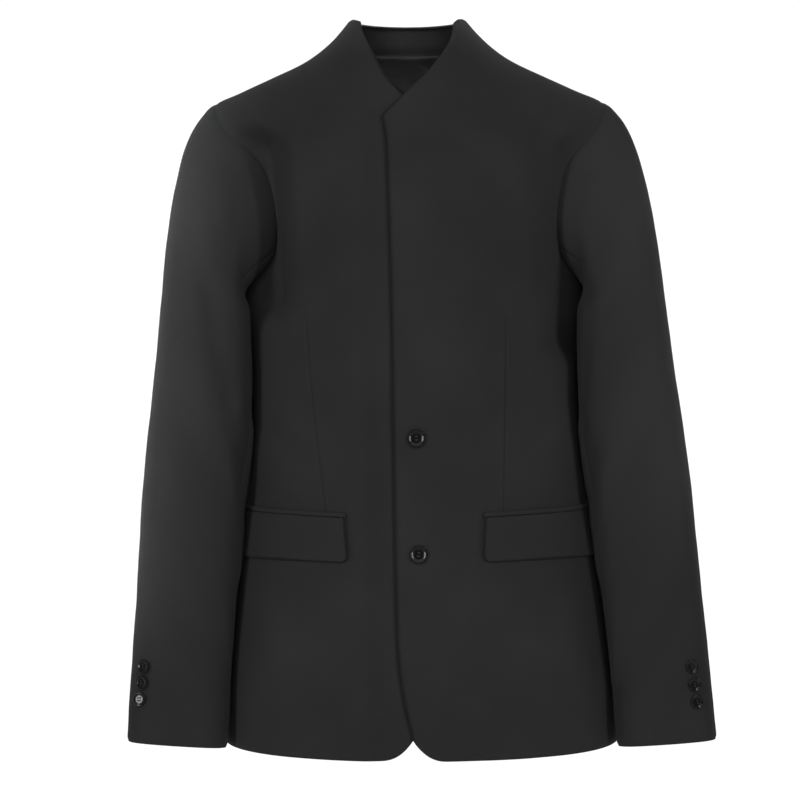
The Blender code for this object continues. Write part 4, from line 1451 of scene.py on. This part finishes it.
def add_buttonhole(name, height, thread):
    """Close stitches round the slit that the button has passed through."""
    paths = []
    for i in range(BUTTONHOLE_STITCHES):
        (x, z), (out_x, out_z) = buttonhole_line(i / BUTTONHOLE_STITCHES)
        path = []
        for reach, rise in STITCH_PATH:
            at_x = FRONT_BUTTON_X + BUTTONHOLE_START + x + out_x * reach * MM
            at_z = height + z + out_z * reach * MM
            point, out = front_place(at_x, at_z)
            sunk = body_relief(point, LEFT, FRONT)
            path.append(leaned(point + out * (rise * MM - sunk)))
        paths.append(path)
    made = link(bpy.data.objects.new(name, joined_tubes(name, paths, STITCH_RADIUS, thread)))
    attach(made, "root")


def add_jacket():
    wool = wool_material()
    polish = button_material()
    thread = thread_material()
    for side, word in SIDES:
        front, back = f"front_{word}", f"back_{word}"
        top, under = f"sleeve_{word}_top", f"sleeve_{word}_under"
        jet = add_piece(f"pocket_jet_{word}", jet_surface(side), JET_CLOTH, wool)
        add_cloth(front, front_surface(side), BODY_CLOTH, wool)
        add_cloth(back, back_surface(side), BODY_CLOTH, wool)
        add_cloth(top, sleeve_surface(side, True), SLEEVE_CLOTH, wool)
        add_cloth(under, sleeve_surface(side, False), SLEEVE_CLOTH, wool)
        add_cloth(f"pocket_flap_{word}", flap_surface(side), FLAP_CLOTH, wool)
    add_cloth("collar_back", collar_surface(), COLLAR_CLOTH, wool)
    add_cloth("back_neck_facing", facing_surface(), FACING_CLOTH, wool)
    add_buttons(polish, thread)
    for i, height in enumerate(FRONT_BUTTON_HEIGHTS):
        add_buttonhole(f"buttonhole_{i + 1}", height, thread)


def add_buttons(polish, thread):
    front = button_mesh("front_button", FRONT_BUTTON_RADIUS, polish)
    front_thread = button_thread_mesh("front_button_thread", FRONT_BUTTON_RADIUS, thread)
    cuff = button_mesh("cuff_button", CUFF_BUTTON_RADIUS, polish)
    cuff_thread = button_thread_mesh("cuff_button_thread", CUFF_BUTTON_RADIUS, thread)
    for i, height in enumerate(FRONT_BUTTON_HEIGHTS):
        place = front_place(FRONT_BUTTON_X, height)
        add_button(f"front_button_{i + 1}", front, front_thread, place, FRONT_BUTTON_TURNS[i])
    for side, word in SIDES:
        for i, button in enumerate(CUFF_BUTTONS[side]):
            place = cuff_place(button, side)
            turn = CUFF_BUTTON_TURNS[side][i]
            add_button(f"cuff_button_{word}_{i + 1}", cuff, cuff_thread, place, turn)


# The photograph's camera, level with the jacket's middle, and the floor at wearing height
CAMERA_PLACE = (-0.0155, -3.5, -0.352)
CAMERA_VIEW_WIDTH = 0.824
CAMERA_ROLL = -0.2
SENSOR = 36.0
FLOOR_Z = -1.45
FLOOR_RADIUS = 5.0
FLOOR_SIDES = 96
Light = namedtuple("Light", "name place width height power spread aim")
LIGHTS = (
    Light("front_softbox", (0.0, -3.4, 1.9), 5.0, 2.6, 74, 180, (0, 0, -0.3)),
    Light("left_softbox", (-2.1, -2.41, 0.35), 0.22, 3.4, 60, 180, (0, 0, -0.35)),
    Light("right_softbox", (2.14, -2.38, 0.35), 0.22, 3.4, 47, 180, (0, 0, -0.35)),
    Light("left_strip", (-1.8, -1.6, 0.05), 0.10, 0.9, 1.7, 6, (-0.35, -0.06, -0.12)),
    Light("left_front_strip", (-0.9, -2.2, 0.05), 0.06, 0.25, 0.035, 4, (-0.228, -0.06, -0.26)),
    Light("right_strip", (1.8, -1.6, -0.1), 0.10, 0.5, 0.11, 6, (0.265, -0.06, -0.22)),
    Light("neck_fill", (0.0, -0.10, 0.30), 0.12, 0.12, 0.22, 40, (0, 0.085, 0.0)),
)

# The room's strength before and behind the jacket, and where it changes, as the y of a direction
ROOM_STRENGTHS = (0.25, 1.05)
BACKDROP_EDGE = (0.3, 0.95)


def add_camera():
    data = bpy.data.cameras.new("camera")
    data.sensor_width = SENSOR
    data.lens = SENSOR * -CAMERA_PLACE[1] / CAMERA_VIEW_WIDTH
    camera = link(bpy.data.objects.new("camera", data))
    level = Euler((math.radians(90), 0, 0)).to_matrix().to_4x4()
    roll = Matrix.Rotation(math.radians(CAMERA_ROLL), 4, "Z")
    camera.matrix_world = Matrix.Translation(CAMERA_PLACE) @ level @ roll
    bpy.context.scene.camera = camera


def add_lights():
    for light in LIGHTS:
        data = bpy.data.lights.new(light.name, "AREA")
        data.shape = "RECTANGLE"
        data.size, data.size_y = light.width, light.height
        data.energy = light.power
        data.spread = math.radians(light.spread)
        made = link(bpy.data.objects.new(light.name, data))
        made.visible_camera = False
        way = Vector(light.aim) - Vector(light.place)
        turn = way.to_track_quat("-Z", "Y").to_matrix().to_4x4()
        made.matrix_world = Matrix.Translation(light.place) @ turn


def add_room():
    """A white room that is brighter behind the jacket."""
    world = bpy.data.worlds.new("studio")
    world.use_nodes = True
    tree = world.node_tree
    sky = tree.nodes["Background"]
    set_inputs(sky, {"Color": (1, 1, 1, 1)})
    parts = add_node(tree, "ShaderNodeSeparateXYZ")
    tree.links.new(add_node(tree, "ShaderNodeTexCoord").outputs["Generated"], parts.inputs["Vector"])
    strength = ranged(tree, parts.outputs["Y"], ROOM_STRENGTHS, BACKDROP_EDGE)
    tree.links.new(strength, sky.inputs["Strength"])
    bpy.context.scene.world = world
    bpy.context.scene.view_settings.view_transform = "Standard"


def add_floor():
    builder = bmesh.new()
    bmesh.ops.create_circle(builder, cap_ends=True, segments=FLOOR_SIDES, radius=FLOOR_RADIUS)
    mesh = mesh_of(builder, "floor")
    mesh.materials.append(floor_material())
    floor = link(bpy.data.objects.new("floor", mesh))
    floor.location.z = FLOOR_Z


def write_sizes():
    bpy.context.view_layer.update()


add_jacket()
add_floor()
add_lights()
add_room()
add_camera()
write_sizes()
